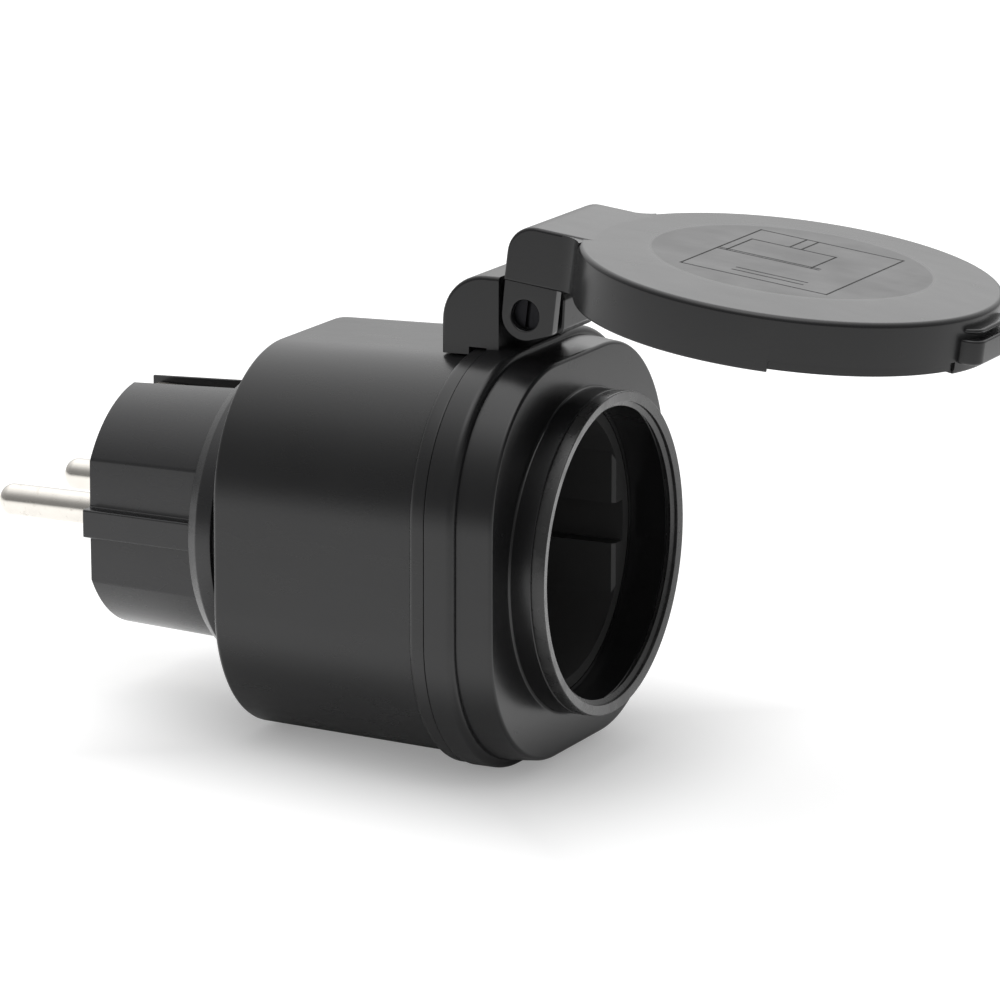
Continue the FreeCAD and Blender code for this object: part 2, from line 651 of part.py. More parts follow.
def make_plug_body():
    """The round plug body with flats, guide ribs, earth recesses, flange and spigot."""
    body = new_body("plug_body")
    outline = new_sketch(body, "plug_profile", "XZ_Plane")
    draw_polygon(outline, [
        (ZERO, ZERO), (size("plug_radius"), ZERO), (size("plug_radius"), plug_end),
        (flange_small, plug_end), (flange_large, cone_end),
        (flange_large, flange_end), (plug_gasket_radius, flange_end),
        (plug_gasket_radius, seat_end), (spigot_radius, seat_end),
        (spigot_radius, rear_inner), (ZERO, rear_inner)])
    revolve(body, "plug_turned", outline)
    reach = size("plug_radius") + 2
    sides = new_sketch(body, "plug_side_cuts")
    for sign in (1, -1):
        draw_polygon(sides, [(sign * size("plug_flat"), reach), (sign * size("plug_flat"), -reach),
                             (sign * reach, -reach), (sign * reach, reach)])
    pocket(body, "plug_flats", sides, plug_end)
    ribs = new_sketch(body, "plug_rib_sections")
    root = size("plug_flat") - 1
    for sign in (1, -1):
        draw_polygon(ribs, [(sign * root, size("rib_half")), (sign * size("rib_reach"), size("rib_half")),
                            (sign * size("rib_reach"), -size("rib_half")),
                            (sign * root, -size("rib_half"))])
    pad(body, "plug_ribs", ribs, plug_end)
    recesses = new_sketch(body, "plug_earth_recesses")
    for sign in (1, -1):
        draw_polygon(recesses, [
            (-size("earth_recess_half"), sign * size("earth_recess_floor")),
            (size("earth_recess_half"), sign * size("earth_recess_floor")),
            (size("earth_recess_half"), sign * reach), (-size("earth_recess_half"), sign * reach)])
    pocket(body, "plug_recess_cut", recesses, plug_end)
    hollow = new_sketch(body, "plug_hollow_section", offset=size("plug_end_wall"))
    draw_circle(hollow, ZERO, ZERO, size("plug_bore"))
    pocket(body, "plug_hollow", hollow, rear_inner - size("plug_end_wall"))
    holes = new_sketch(body, "plug_pin_holes")
    for sign in (1, -1):
        draw_circle(holes, sign * pin_x, ZERO, pin_root + size("close_fit"))
    pocket(body, "plug_pin_hole_cut", holes, size("plug_end_wall"))
    dimples = new_sketch(body, "plug_pin_dimples")
    for sign in (1, -1):
        draw_circle(dimples, sign * pin_x, ZERO, size("pin_radius") + size("pin_dimple_more"))
    pocket(body, "plug_pin_dimple_cut", dimples, size("pin_dimple_depth"))
    slot_half = size("earth_strip_half") + size("slip")
    strip_top = size("earth_recess_floor") + size("strip_thickness") + size("close_fit")
    legs = new_sketch(body, "plug_strip_slots", offset=plug_end)
    for sign in (1, -1):
        draw_polygon(legs, [(-slot_half, sign * size("earth_recess_floor")),
                            (slot_half, sign * size("earth_recess_floor")),
                            (slot_half, sign * strip_top), (-slot_half, sign * strip_top)])
    pocket(body, "plug_strip_slot_cut", legs, rear_inner - plug_end)
    web = new_sketch(body, "plug_web_slot", offset=plug_web_start - size("close_fit"))
    draw_rectangle(web, -slot_half, slot_half, -strip_top, strip_top)
    pocket(body, "plug_web_slot_cut", web, rear_inner - plug_web_start + size("close_fit"))
    screws = new_sketch(body, "plug_screw_holes", offset=seat_end - plug_screw_bite)
    for x, y in PLUG_SCREWS:
        draw_circle(screws, x, y, size("plug_screw_shank") + size("close_fit"))
    pocket(body, "plug_screw_hole_cut", screws, plug_screw_bite)
    rim = size("plug_radius").value

    def end_rim(edge, middle):
        return near(middle.z, 0) and near(math.hypot(middle.x, middle.y), rim)

    round_edges(body, "plug_rim_round", 0.5, end_rim)
    keep(body, "plug_body")


plug_web_start = flange_end - size("strip_thickness") * 2
plug_screw_bite = (size("plug_screw_length") - size("rear_wall") - size("plug_gasket_length")
                   + size("close_fit"))


def make_plug_contacts():
    """The two current pins and the strap that carries both earth contacts."""
    end_wall = size("plug_end_wall")
    collar_end = end_wall + size("pin_collar_length")
    for side, label in ((-1, "line_pin"), (1, "neutral_pin")):
        body = new_body(label)
        profile = new_sketch(body, label + "_profile", "XZ_Plane")
        draw_polygon(profile, [
            (ZERO, -size("pin_length")), (size("pin_radius"), -size("pin_length")),
            (size("pin_radius"), ZERO), (pin_root, ZERO),
            (pin_root, end_wall), (size("pin_collar"), end_wall),
            (size("pin_collar"), collar_end), (size("pin_tail"), collar_end),
            (size("pin_tail"), board_front + size("solder_reach")),
            (ZERO, board_front + size("solder_reach"))])
        revolve(body, label + "_turned", profile)
        tip = -size("pin_length").value

        def at_tip(edge, middle):
            return near(middle.z, tip) and edge.Length > 1

        round_edges(body, label + "_tip", size("pin_tip_round"), at_tip)
        place = DEPTH_TO_WORLD.multiply(Placement(Vector(side * pin_x.value, 0, 0), Rotation()))
        keep(body, label, place)
        bind(body, "Placement.Base.x", side * pin_x)
    half = size("earth_strip_half")
    floor = size("earth_recess_floor")
    top = floor + size("strip_thickness")
    web_end = plug_web_start + size("strip_thickness")
    start = size("earth_strip_start")
    strap = join("plug_earth_strap", [
        block("earth_leg_top", -half, half, floor, top, start, web_end),
        block("earth_leg_bottom", -half, half, -top, -floor, start, web_end),
        block("earth_web", -half, half, -top, top, plug_web_start, web_end)])
    keep(strap, "plug_earth_strap")


# housing


def make_rear_housing():
    """The drawn-out rear shell with its seam bead, rear wall, pillars and board posts."""
    body = new_body("rear_housing")
    rear = new_sketch(body, "barrel_rear", offset=rear_face)
    draw_rounded_square(rear, rear_half, rear_corner)
    front = new_sketch(body, "barrel_front", offset=seam)
    draw_rounded_square(front, front_half, front_corner)
    loft(body, "barrel", rear, front)
    bead_start = seam - size("bead_length")
    bead = new_sketch(body, "bead_section", offset=bead_start)
    draw_rounded_square(bead, bead_half, bead_corner)
    pad(body, "bead", bead, size("bead_length"))
    bead_z, rear_z = bead_start.value, rear_face.value

    def on_bead_edge(edge, middle):
        return near(middle.z, bead_z) and on_square(middle, bead_half, bead_corner)

    def on_rear_edge(edge, middle):
        return near(middle.z, rear_z)

    round_edges(body, "bead_round_edge", size("bead_round"), on_bead_edge)
    round_edges(body, "barrel_rear_round", size("rear_edge_round"), on_rear_edge)
    wall = size("housing_wall")
    inside_rear = new_sketch(body, "cavity_rear", offset=rear_inner)
    draw_rounded_square(inside_rear, rear_half - wall, rear_corner - wall)
    inside_front = new_sketch(body, "cavity_front", offset=seam)
    draw_rounded_square(inside_front, front_half - wall, front_corner - wall)
    loft(body, "cavity", inside_rear, inside_front, "PartDesign::SubtractiveLoft")
    rabbet_half = spigot_half + size("housing_gasket_width")
    rabbet = new_sketch(body, "gasket_rabbet", offset=seam - size("housing_gasket_length"))
    draw_rounded_square(rabbet, rabbet_half, spigot_corner + size("housing_gasket_width"))
    pocket(body, "gasket_rabbet_cut", rabbet, size("housing_gasket_length"))
    pillars = new_sketch(body, "rear_pillar_sections", offset=rear_inner - 1)
    for x, y in PILLARS:
        draw_circle(pillars, x, y, size("rear_pillar_radius"))
    pad(body, "rear_pillars", pillars, cup_back - rear_inner + 1)
    posts = new_sketch(body, "board_post_sections", offset=rear_inner - 1)
    for sign in (1, -1):
        draw_circle(posts, ZERO, sign * board_post_offset, size("board_post_radius"))
    pad(body, "board_posts", posts, size("board_post_height") + 1)
    opening = new_sketch(body, "spigot_hole", offset=rear_face - 1)
    draw_circle(opening, ZERO, ZERO, spigot_radius + size("slip"))
    for x, y in PLUG_SCREWS:
        draw_circle(opening, x, y, size("plug_screw_shank") + size("close_fit"))
    pocket(body, "rear_wall_holes", opening, size("rear_wall") + 1.5)
    bores = new_sketch(body, "counterbores", offset=rear_face - 1)
    for x, y in PILLARS:
        draw_circle(bores, x, y, size("counterbore_radius"))
    pocket(body, "counterbore_cut", bores, cup_back - size("counterbore_floor") - rear_face + 1)
    shanks = new_sketch(body, "rear_screw_holes", offset=cup_back - size("counterbore_floor") - 1)
    for x, y in PILLARS:
        draw_circle(shanks, x, y, size("screw_shank") + size("slip"))
    pocket(body, "rear_screw_hole_cut", shanks, size("counterbore_floor") + 1)
    pilot = new_sketch(body, "board_pilot_holes", offset=rear_inner - 0.4)
    for sign in (1, -1):
        draw_circle(pilot, ZERO, sign * board_post_offset, size("small_shank") + size("close_fit"))
    pocket(body, "board_pilot_cut", pilot, size("board_post_height") + 0.4)
    keep(body, "rear_housing")


def make_front_cover():
    """The front cover: seam ring, front band, collar, inner spigot, pillars and hinge boss."""
    body = new_body("front_cover")
    ring = new_sketch(body, "ring_section", offset=seam)
    draw_rounded_square(ring, ring_half, ring_corner)
    pad(body, "ring", ring, size("ring_length"))
    step_z = step.value

    def on_ring_edge(edge, middle):
        return near(middle.z, step_z)

    round_edges(body, "ring_shoulder", size("shoulder_round"), on_ring_edge)
    face = new_sketch(body, "face_section", offset=seam)
    draw_rounded_square(face, face_half, face_corner)
    pad(body, "face_band", face, front_face - seam)
    collar = new_sketch(body, "collar_section", offset=front_face)
    draw_circle(collar, ZERO, ZERO, collar_radius)
    pad(body, "collar", collar, seal_start - front_face)
    face_z = front_face.value
    collar_edge = collar_radius.value

    def at_collar_foot(edge, middle):
        return near(middle.z, face_z) and near(math.hypot(middle.x, middle.y), collar_edge)

    def at_face_rim(edge, middle):
        return near(middle.z, face_z) and math.hypot(middle.x, middle.y) > collar_edge + 3.5

    round_edges(body, "collar_foot", size("collar_foot_round"), at_collar_foot)
    round_edges(body, "face_rim", size("face_round"), at_face_rim)
    make_hinge_boss(body)
    spigot_start = seam - size("spigot_length")
    spigot = new_sketch(body, "spigot_section", offset=spigot_start)
    draw_rounded_square(spigot, spigot_half, spigot_corner)
    pad(body, "spigot", spigot, size("spigot_length") + 1)
    cavity = new_sketch(body, "cover_cavity_section", offset=spigot_start)
    draw_rounded_square(cavity, spigot_half - size("spigot_wall"), spigot_corner - size("spigot_wall"))
    pocket(body, "cover_cavity", cavity, face_inner - spigot_start)
    pillars = new_sketch(body, "cover_pillar_sections", offset=cup_face)
    for x, y in PILLARS:
        draw_circle(pillars, x, y, size("cover_pillar_radius"))
    pad(body, "cover_pillars", pillars, face_inner - cup_face + 1)
    pilot = new_sketch(body, "cover_pilot_holes", offset=cup_face)
    for x, y in PILLARS:
        draw_circle(pilot, x, y, size("screw_shank") + size("close_fit"))
    bite = size("screw_length") - size("counterbore_floor") - size("cup_floor")
    pocket(body, "cover_pilot_cut", pilot, bite + size("slip"))
    seat = new_sketch(body, "cup_seat_section", offset=face_inner - 1)
    draw_circle(seat, ZERO, ZERO, cup_radius + size("slip"))
    pocket(body, "cup_seat", seat, cup_front - face_inner + 1)
    bore = new_sketch(body, "collar_bore_section", offset=cup_front)
    draw_circle(bore, ZERO, ZERO, collar_bore)
    pocket(body, "collar_bore_cut", bore, mouth - cup_front)
    groove = new_sketch(body, "seal_groove_section", offset=seal_start - size("seal_tongue_length"))
    draw_circle(groove, ZERO, ZERO, seal_tongue_outer + size("close_fit"))
    draw_circle(groove, ZERO, ZERO, seal_tongue_inner - size("close_fit"))
    pocket(body, "seal_groove", groove, size("seal_tongue_length"))
    keep(body, "front_cover")


def make_hinge_boss(body):
    """Add the block that carries the lid's hinge pin to the front cover."""
    hinge_y = hinge_height
    boss_rear = seam - size("boss_overhang")
    boss_front = hinge_depth - size("ear_radius") - size("slip") * 1.5
    under = face_half - 2
    profile = new_sketch(body, "boss_profile", "YZ_Plane", -size("arm_half"))
    draw_rectangle(profile, under, boss_top, boss_rear, boss_front)
    pad(body, "boss", profile, size("arm_half") * 2)
    top, rear, front, side = (v.value for v in (boss_top, boss_rear, boss_front, size("arm_half")))

    def rear_top(edge, middle):
        return near(middle.y, top) and near(middle.z, rear)

    round_edges(body, "boss_rear_round", size("boss_round"), rear_top)

    def boss_side(edge, middle):
        outward = near(abs(middle.x), side) and near(edge.BoundBox.XLength, 0)
        return outward and middle.y > under.value + 0.1 and middle.z < front - 0.1

    round_edges(body, "boss_side_round", size("boss_edge_round"), boss_side)
    gap = size("slip") * 0.75
    bead_clear = seam - size("bead_length") - gap
    over_barrel = new_sketch(body, "barrel_clearance", offset=boss_rear - 1)
    draw_rounded_square(over_barrel, front_half + gap, front_corner + gap)
    pocket(body, "barrel_clearance_cut", over_barrel, bead_clear - boss_rear + 1)
    over_bead = new_sketch(body, "bead_clearance", offset=bead_clear)
    draw_rounded_square(over_bead, bead_half + gap * 1.5, bead_corner + gap * 1.5)
    pocket(body, "bead_clearance_cut", over_bead, seam - bead_clear)
    knuckle = new_sketch(body, "knuckle_profile", "YZ_Plane", -size("knuckle_half"))
    foot, reach, crest = size("knuckle_foot"), size("knuckle_reach"), size("knuckle_crest")
    draw_polygon(knuckle, [
        (under + 1, boss_front - 0.5), (hinge_y + crest, boss_front - 0.5),
        (hinge_y + crest, hinge_depth + reach - 1), (hinge_y + crest / 2, hinge_depth + reach),
        (hinge_y - crest * 0.75, hinge_depth + reach - 0.2), (hinge_y - crest, hinge_depth + foot),
        (hinge_y - crest - 1.4, hinge_depth), (hinge_y - crest - 2.4, hinge_depth - 2),
        (under + 1, hinge_depth - 2)])
    pad(body, "knuckle", knuckle, size("knuckle_half") * 2)
    bore = new_sketch(body, "hinge_bore_section", "YZ_Plane", -size("knuckle_half") - 1)
    draw_circle(bore, hinge_y, hinge_depth, size("hinge_pin_radius") + size("running_fit"))
    pocket(body, "hinge_bore", bore, size("knuckle_half") * 2 + 2)


def make_gaskets():
    """The plug gasket, the seam gasket and the rubber ring that ends the collar."""
    ring = new_body("plug_gasket")
    outline = new_sketch(ring, "plug_gasket_section", offset=seat_end)
    draw_circle(outline, ZERO, ZERO, plug_gasket_radius)
    draw_circle(outline, ZERO, ZERO, spigot_radius + size("slip"))
    for x, y in PLUG_SCREWS:
        draw_circle(outline, x, y, size("plug_screw_shank") + size("close_fit"))
    pad(ring, "plug_gasket_pad", outline, size("plug_gasket_length"))
    keep(ring, "plug_gasket")
    seal = new_body("housing_gasket")
    start = seam - size("housing_gasket_length") + size("close_fit")
    around = new_sketch(seal, "housing_gasket_section", offset=start)
    outer = spigot_half + size("housing_gasket_width") - size("close_fit")
    draw_rounded_square(around, outer, spigot_corner + size("housing_gasket_width") - size("close_fit"))
    draw_rounded_square(around, spigot_half + size("close_fit"), spigot_corner + size("close_fit"))
    pad(seal, "housing_gasket_pad", around, size("housing_gasket_length") - size("close_fit") * 2)
    keep(seal, "housing_gasket")
    lip = new_body("mouth_seal")
    profile = new_sketch(lip, "mouth_seal_profile", "XZ_Plane")
    tongue_end = seal_start - size("seal_tongue_length") + size("close_fit")
    lip_reach = collar_bore - size("seal_lip_reach")
    middle = seal_start + size("mouth_seal_length") / 2
    draw_polygon(profile, [
        (collar_bore, seal_start), (seal_tongue_inner, seal_start),
        (seal_tongue_inner, tongue_end), (seal_tongue_outer, tongue_end),
        (seal_tongue_outer, seal_start), (collar_radius, seal_start),
        (collar_radius, mouth - 0.3), (collar_radius - 0.3, mouth),
        (collar_bore, mouth), (collar_bore, middle + 0.3),
        (lip_reach, middle), (collar_bore, middle - 0.5)])
    revolve(lip, "mouth_seal_turned", profile)
    keep(lip, "mouth_seal")


# contact cup, shutter, contacts


def make_contact_cup():
    """The cup with the recess, guide flats, pin entries and slots for the earth clip."""
    body = new_body("contact_cup")
    wall = new_sketch(body, "cup_section", offset=cup_back)
    draw_circle(wall, ZERO, ZERO, cup_radius)
    pad(body, "cup", wall, cup_front - cup_back)
    ears = new_sketch(body, "cup_ear_sections", offset=cup_back)
    for x, y in PILLARS:
        draw_circle(ears, x, y, size("cup_ear_radius"))
    pad(body, "cup_ears", ears, size("cup_floor"))
    bridges = new_sketch(body, "cup_ear_bridges", offset=cup_back)
    inner = pillar - size("cup_ear_radius") * 1.6
    width = size("cup_ear_radius") * 0.9
    for sx in (1, -1):
        for sy in (1, -1):
            draw_polygon(bridges, [
                (sx * (inner + width), sy * (inner - width)), (sx * (pillar + width / 2), sy * (pillar - width)),
                (sx * (pillar - width), sy * (pillar + width / 2)), (sx * (inner - width), sy * (inner + width))])
    pad(body, "cup_bridges", bridges, size("cup_floor"))
    recess = new_sketch(body, "recess_section", offset=cup_face)
    draw_circle(recess, ZERO, ZERO, size("recess_radius"))
    pocket(body, "recess", recess, size("recess_depth"))
    reach = size("recess_radius") + size("cup_wall") / 2
    flat = recess_flat
    guides = new_sketch(body, "guide_sections", offset=cup_face - 0.5)
    outer = (reach * reach - flat * flat).root()
    inner_end = (reach * reach - size("guide_half") * size("guide_half")).root()
    for sx in (1, -1):
        for sy in (1, -1):
            draw_polygon(guides, [(sx * flat, sy * size("guide_half")), (sx * inner_end, sy * size("guide_half")),
                                  (sx * flat, sy * outer)])
    pad(body, "guide_flats", guides, size("recess_depth") + 0.5)
    entries = new_sketch(body, "entry_holes", offset=cup_back - 1)
    for sign in (1, -1):
        draw_circle(entries, sign * pin_x, ZERO, size("entry_radius"))
    pocket(body, "entry_hole_cut", entries, size("cup_floor") + 1)
    face_z = cup_face.value
    entry = size("entry_radius").value

    def entry_rim(edge, middle):
        return near(middle.z, face_z) and near(abs(abs(middle.x) - pin_x.value), entry) and near(middle.y, 0)

    names = edge_names(body.Tip.Shape, entry_rim)
    lead_in = body.newObject("PartDesign::Chamfer", "entry_lead_in")
    lead_in.Base = (body.getObject("entry_hole_cut"), names)
    lead_in.Size = size("entry_countersink").value
    bind(lead_in, "Size", size("entry_countersink"))
    doc.recompute()
    slots = new_sketch(body, "clip_slots", offset=cup_back - 1)
    slot_half = size("clip_half") + size("slip")
    for sign in (1, -1):
        draw_polygon(slots, [
            (-slot_half, sign * (clip_reach + size("slip"))),
            (slot_half, sign * (clip_reach + size("slip"))),
            (slot_half, sign * (clip_reach - size("strip_thickness") - size("slip"))),
            (-slot_half, sign * (clip_reach - size("strip_thickness") - size("slip")))])
    pocket(body, "clip_slot_cut", slots, size("cup_floor") + 1)
    ear_holes = new_sketch(body, "cup_ear_holes", offset=cup_back - 1)
    for x, y in PILLARS:
        draw_circle(ear_holes, x, y, size("screw_shank") + size("slip"))
    pocket(body, "cup_ear_hole_cut", ear_holes, size("cup_floor") + 1)
    stands = new_sketch(body, "carrier_stands", offset=carrier_front)
    for sign in (1, -1):
        draw_circle(stands, sign * size("carrier_screw_offset"), ZERO, size("small_shank") + 1.6)
    seat_half = size("spring_slot_half") - size("slip")
    seat_y = spring_low - size("spring_seat_height")
    draw_rectangle(stands, -seat_half, seat_half, seat_y, spring_low)
    pad(body, "cup_stands", stands, size("shutter_space") + 0.5)
    pilot = new_sketch(body, "carrier_pilot_holes", offset=carrier_front)
    for sign in (1, -1):
        draw_circle(pilot, sign * size("carrier_screw_offset"), ZERO, size("small_shank") + size("close_fit"))
    pocket(body, "carrier_pilot_cut", pilot, carrier_bite)
    keep(body, "contact_cup")


spring_low = -size("spring_length") / 2 - 0.5
carrier_bite = size("carrier_screw_length") - size("carrier_ear_length") + size("close_fit")


def make_shutter():
    """The child safety shutter, which slides down to uncover the pin entries, and its spring."""
    space = (size("shutter_space") - size("shutter_thickness")) / 2
    start = carrier_front + space
    travel = size("shutter_travel")
    spring_high = spring_low + size("spring_length")
    slot_low = spring_low - size("spring_seat_height") - size("slip")
    low = slot_low - 2
    high = travel + size("shutter_window") + 2
    body = new_body("shutter")
    plate = new_sketch(body, "shutter_outline", offset=start)
    draw_rectangle(plate, -size("shutter_half"), size("shutter_half"), low, high)
    pad(body, "shutter_plate", plate, size("shutter_thickness"))
    windows = new_sketch(body, "shutter_windows", offset=start - 1)
    for sign in (1, -1):
        draw_circle(windows, sign * pin_x, travel, size("shutter_window"))
    slot = size("spring_slot_half")
    draw_rectangle(windows, -slot, slot, slot_low, spring_high + size("slip"))
    pocket(body, "shutter_window_cut", windows, size("shutter_thickness") + 1.5)
    corner = size("shutter_half").value

    def plate_corner(edge, middle):
        return near(abs(middle.x), corner) and near(edge.BoundBox.YLength, 0)

    round_edges(body, "shutter_corners", size("shutter_margin") / 2, plate_corner)
    keep(body, "shutter")
    coil = sheet.get("spring_coil")
    wire = sheet.get("spring_wire")
    length = sheet.get("spring_length") - 2 * wire
    helix = Part.makeHelix(length / sheet.get("spring_turns"), length, coil)
    section = Part.Wire([Part.makeCircle(wire, Vector(coil, 0, 0), Vector(0, 1, 0))])
    spring = doc.addObject("Part::Feature", "shutter_spring")
    spring.Shape = Part.Wire(helix.Edges).makePipeShell([section], True, True)
    centre = Vector(0, spring_low.value + wire, carrier_front.value + sheet.get("shutter_space") / 2)
    local = Placement(centre, Rotation(Vector(1, 0, 0), -90))
    keep(spring, "shutter_spring", DEPTH_TO_WORLD.multiply(local))


def make_carrier():
    """The block that holds the contact sleeves behind the shutter, with two screw ears."""
    half, tall = size("carrier_half"), size("carrier_height")
    web_half = size("clip_half") + size("slip")
    ear_front = carrier_front - size("carrier_ear_length")
    solid = join("carrier_solid", [
        block("carrier_block", -half, half, -tall, tall, carrier_back, carrier_front),
        block("carrier_ears", -size("carrier_ear_reach"), size("carrier_ear_reach"),
              -size("carrier_ear_half"), size("carrier_ear_half"), ear_front, carrier_front)])
    tools = [block("carrier_web_groove", -web_half, web_half, -tall - 1, tall + 1,
                   clip_web_start - size("close_fit"), carrier_front + 1),
             rod("carrier_link_bore", size("link_radius") + size("slip"), ZERO, ZERO,
                 carrier_back - 1, carrier_front + 1)]
    for sign, side in ((-1, "left"), (1, "right")):
        x = sign * pin_x
        tools.append(rod(f"carrier_sleeve_bore_{side}", size("sleeve_radius") + size("close_fit") * 2,
                         x, ZERO, carrier_back - 1, carrier_front + 1))
        tools.append(rod(f"carrier_screw_bore_{side}", size("small_shank") + size("slip"),
                         sign * size("carrier_screw_offset"), ZERO, ear_front - 1, carrier_front + 1))
    keep(cut("contact_carrier", solid, tools), "contact_carrier")


clip_web_start = carrier_front - size("strip_thickness")


def make_contacts():
    """The two contact sleeves with their tails, the earth clip and the earth link."""
    for sign, label in ((-1, "line_contact"), (1, "neutral_contact")):
        x = sign * pin_x
        outer = size("sleeve_radius")
        end = carrier_front - size("close_fit")
        start = end - size("sleeve_length")
        thick = size("strip_thickness")
        solid = join(label + "_solid", [
            rod(label + "_sleeve", outer, x, ZERO, start, end),
            block(label + "_tail", x - size("tail_half"), x + size("tail_half"), tail_low,
                  tail_low + thick, board_back - 0.6, start + 1)])
        slit = size("sleeve_slit") / 2
        tools = [rod(label + "_bore", size("pin_radius") + size("close_fit"), x, ZERO, start - 1, end + 1),
                 block(label + "_slit", x - slit, x + slit, ZERO, outer + 1, start - 1, end + 1)]
        keep(cut(label, solid, tools), label)
    make_earth_clip()
    link = new_body("earth_link")
    section = new_sketch(link, "earth_link_section", offset=plug_web_start + size("strip_thickness"))
    draw_circle(section, ZERO, ZERO, size("link_radius"))
    pad(link, "earth_link_rod", section, clip_web_start - plug_web_start - size("strip_thickness"))
    keep(link, "earth_link")


tail_low = size("tail_inset") - size("sleeve_radius")


def make_earth_clip():
    """The stamped strap whose bowed arms touch a plug's earth contacts."""
    body = new_body("earth_clip")
    profile = new_sketch(body, "earth_clip_profile", "YZ_Plane", -size("clip_half"))
    thick = size("strip_thickness")
    reach = clip_reach
    bow = size("clip_bow")
    web = clip_web_start
    bow_start = cup_face + size("clip_bow_start")
    bow_end = cup_face + size("clip_arm_end")
    bow_top = bow_start + (bow_end - bow_start) * 0.55
    bent = thick * 1.06
    outside = [(reach, web), (reach, bow_start), (reach - bow, bow_top), (reach - 0.4, bow_end)]
    inside = [(reach - 0.4 - bent, bow_end), (reach - bow - bent, bow_top),
              (reach - thick, bow_start), (reach - thick, web + thick)]
    loop = outside + inside
    loop += [(-y, z) for y, z in reversed(inside)]
    loop += [(-y, z) for y, z in reversed(outside)]
    draw_polygon(profile, loop)
    pad(body, "earth_clip_strip", profile, size("clip_half") * 2)
    keep(body, "earth_clip")


# circuit board and what stands on it


def make_board():
    """The circuit board, notched round the pillars and drilled for every tail."""
    body = new_body("circuit_board")
    outline = new_sketch(body, "board_outline", offset=board_back)
    draw_rounded_square(outline, board_half, rear_corner - size("housing_wall") - size("board_gap"))
    pad(body, "board_plate", outline, size("board_thickness"))
    holes = new_sketch(body, "board_notches", offset=board_back - 1)
    for x, y in PILLARS:
        draw_circle(holes, x, y, size("rear_pillar_radius") + size("board_gap"))
    pocket(body, "board_notch_cut", holes, size("board_thickness") + 2)
    small = new_sketch(body, "board_holes", offset=board_back - 1)
    draw_circle(small, ZERO, ZERO, size("link_radius") + size("board_gap"))
    for sign in (1, -1):
        draw_circle(small, sign * pin_x, ZERO, size("pin_tail") + size("close_fit"))
        draw_circle(small, ZERO, sign * board_post_offset, size("small_shank") + size("slip"))
        wide = size("tail_half") + size("close_fit")
        top = tail_low + size("strip_thickness") + size("close_fit")
        low = tail_low - size("close_fit")
        draw_rectangle(small, sign * pin_x - wide, sign * pin_x + wide, low, top)
    pocket(body, "board_hole_cut", small, size("board_thickness") + 2)
    keep(body, "circuit_board")


def make_components():
    """The relay, capacitors, rectifier, varistor, fuse, receiver module and antenna."""
    base = board_front
    body = new_body("relay")
    case = new_sketch(body, "relay_section", offset=base)
    draw_rectangle(case, -relay_half, relay_half, relay_low,
                   relay_low + size("relay_width"))
    pad(body, "relay_case", case, size("relay_height"))
    top = (base + size("relay_height")).value

    def top_edge(edge, middle):
        return near(middle.z, top)

    round_edges(body, "relay_edges", 0.5, top_edge)
    keep(body, "relay")
    film = new_body("film_capacitor")
    section = new_sketch(film, "film_section", offset=base)
    draw_rectangle(section, size("film_left"), size("film_left") + size("film_length"),
                   film_top - size("film_width"), film_top)
    pad(film, "film_case", section, size("film_height"))
    film_z = (base + size("film_height")).value

    def film_edge(edge, middle):
        return near(middle.z, film_z)

    round_edges(film, "film_edges", 0.6, film_edge)
    keep(film, "film_capacitor")
    can = new_body("smoothing_capacitor")
    profile = new_sketch(can, "can_profile", "XZ_Plane")
    radius, height = size("can_radius"), size("can_height")
    draw_polygon(profile, [
        (ZERO, base), (radius, base), (radius, base + 1.6), (radius - 0.35, base + 2.0),
        (radius - 0.35, base + 2.4), (radius, base + 2.8), (radius, base + height),
        (ZERO, base + height)])
    revolve(can, "can_turned", profile)
    place = Placement(Vector(can_across.value, -can_down.value, 0), Rotation())
    keep(can, "smoothing_capacitor", DEPTH_TO_WORLD.multiply(place))
    bind(can, "Placement.Base.x", can_across)
    bind(can, "Placement.Base.z", -can_down)
    bridge = new_body("rectifier")
    slab = new_sketch(bridge, "rectifier_section", offset=base)
    draw_rectangle(slab, -size("bridge_half"), size("bridge_half"),
                   bridge_top - size("bridge_width"), bridge_top)
    pad(bridge, "rectifier_case", slab, size("bridge_height"))
    keep(bridge, "rectifier")
    make_leaded_parts(base)
    make_receiver(base)


def make_leaded_parts(base):
    """The varistor and the fuse, each with the leads that hold it off the board."""
    lead = size("lead_radius")
    radius, thick = size("varistor_radius"), size("varistor_thickness")
    outer = varistor_across
    centre_z = base + radius + 1
    disc = bar("varistor_disc", radius, -outer, -size("varistor_down"), centre_z, thick, "x")
    middle = thick / 2 - outer
    legs = [rod(f"varistor_lead_{i}", lead, middle, sign * 2.5 - size("varistor_down"), base, centre_z)
            for i, sign in enumerate((1, -1))]
    keep(join("varistor", [disc] + legs), "varistor")
    rise = base + size("fuse_rise")
    x = -fuse_across
    start, length = size("fuse_start"), size("fuse_length")
    tube_ = bar("fuse_tube", size("fuse_radius"), x, start, rise, length, "y")
    ends = [rod("fuse_lead_a", lead, x, start + 1, base, rise),
            rod("fuse_lead_b", lead, x, start + length - 1, base, rise)]
    keep(join("fuse", [tube_] + ends), "fuse")


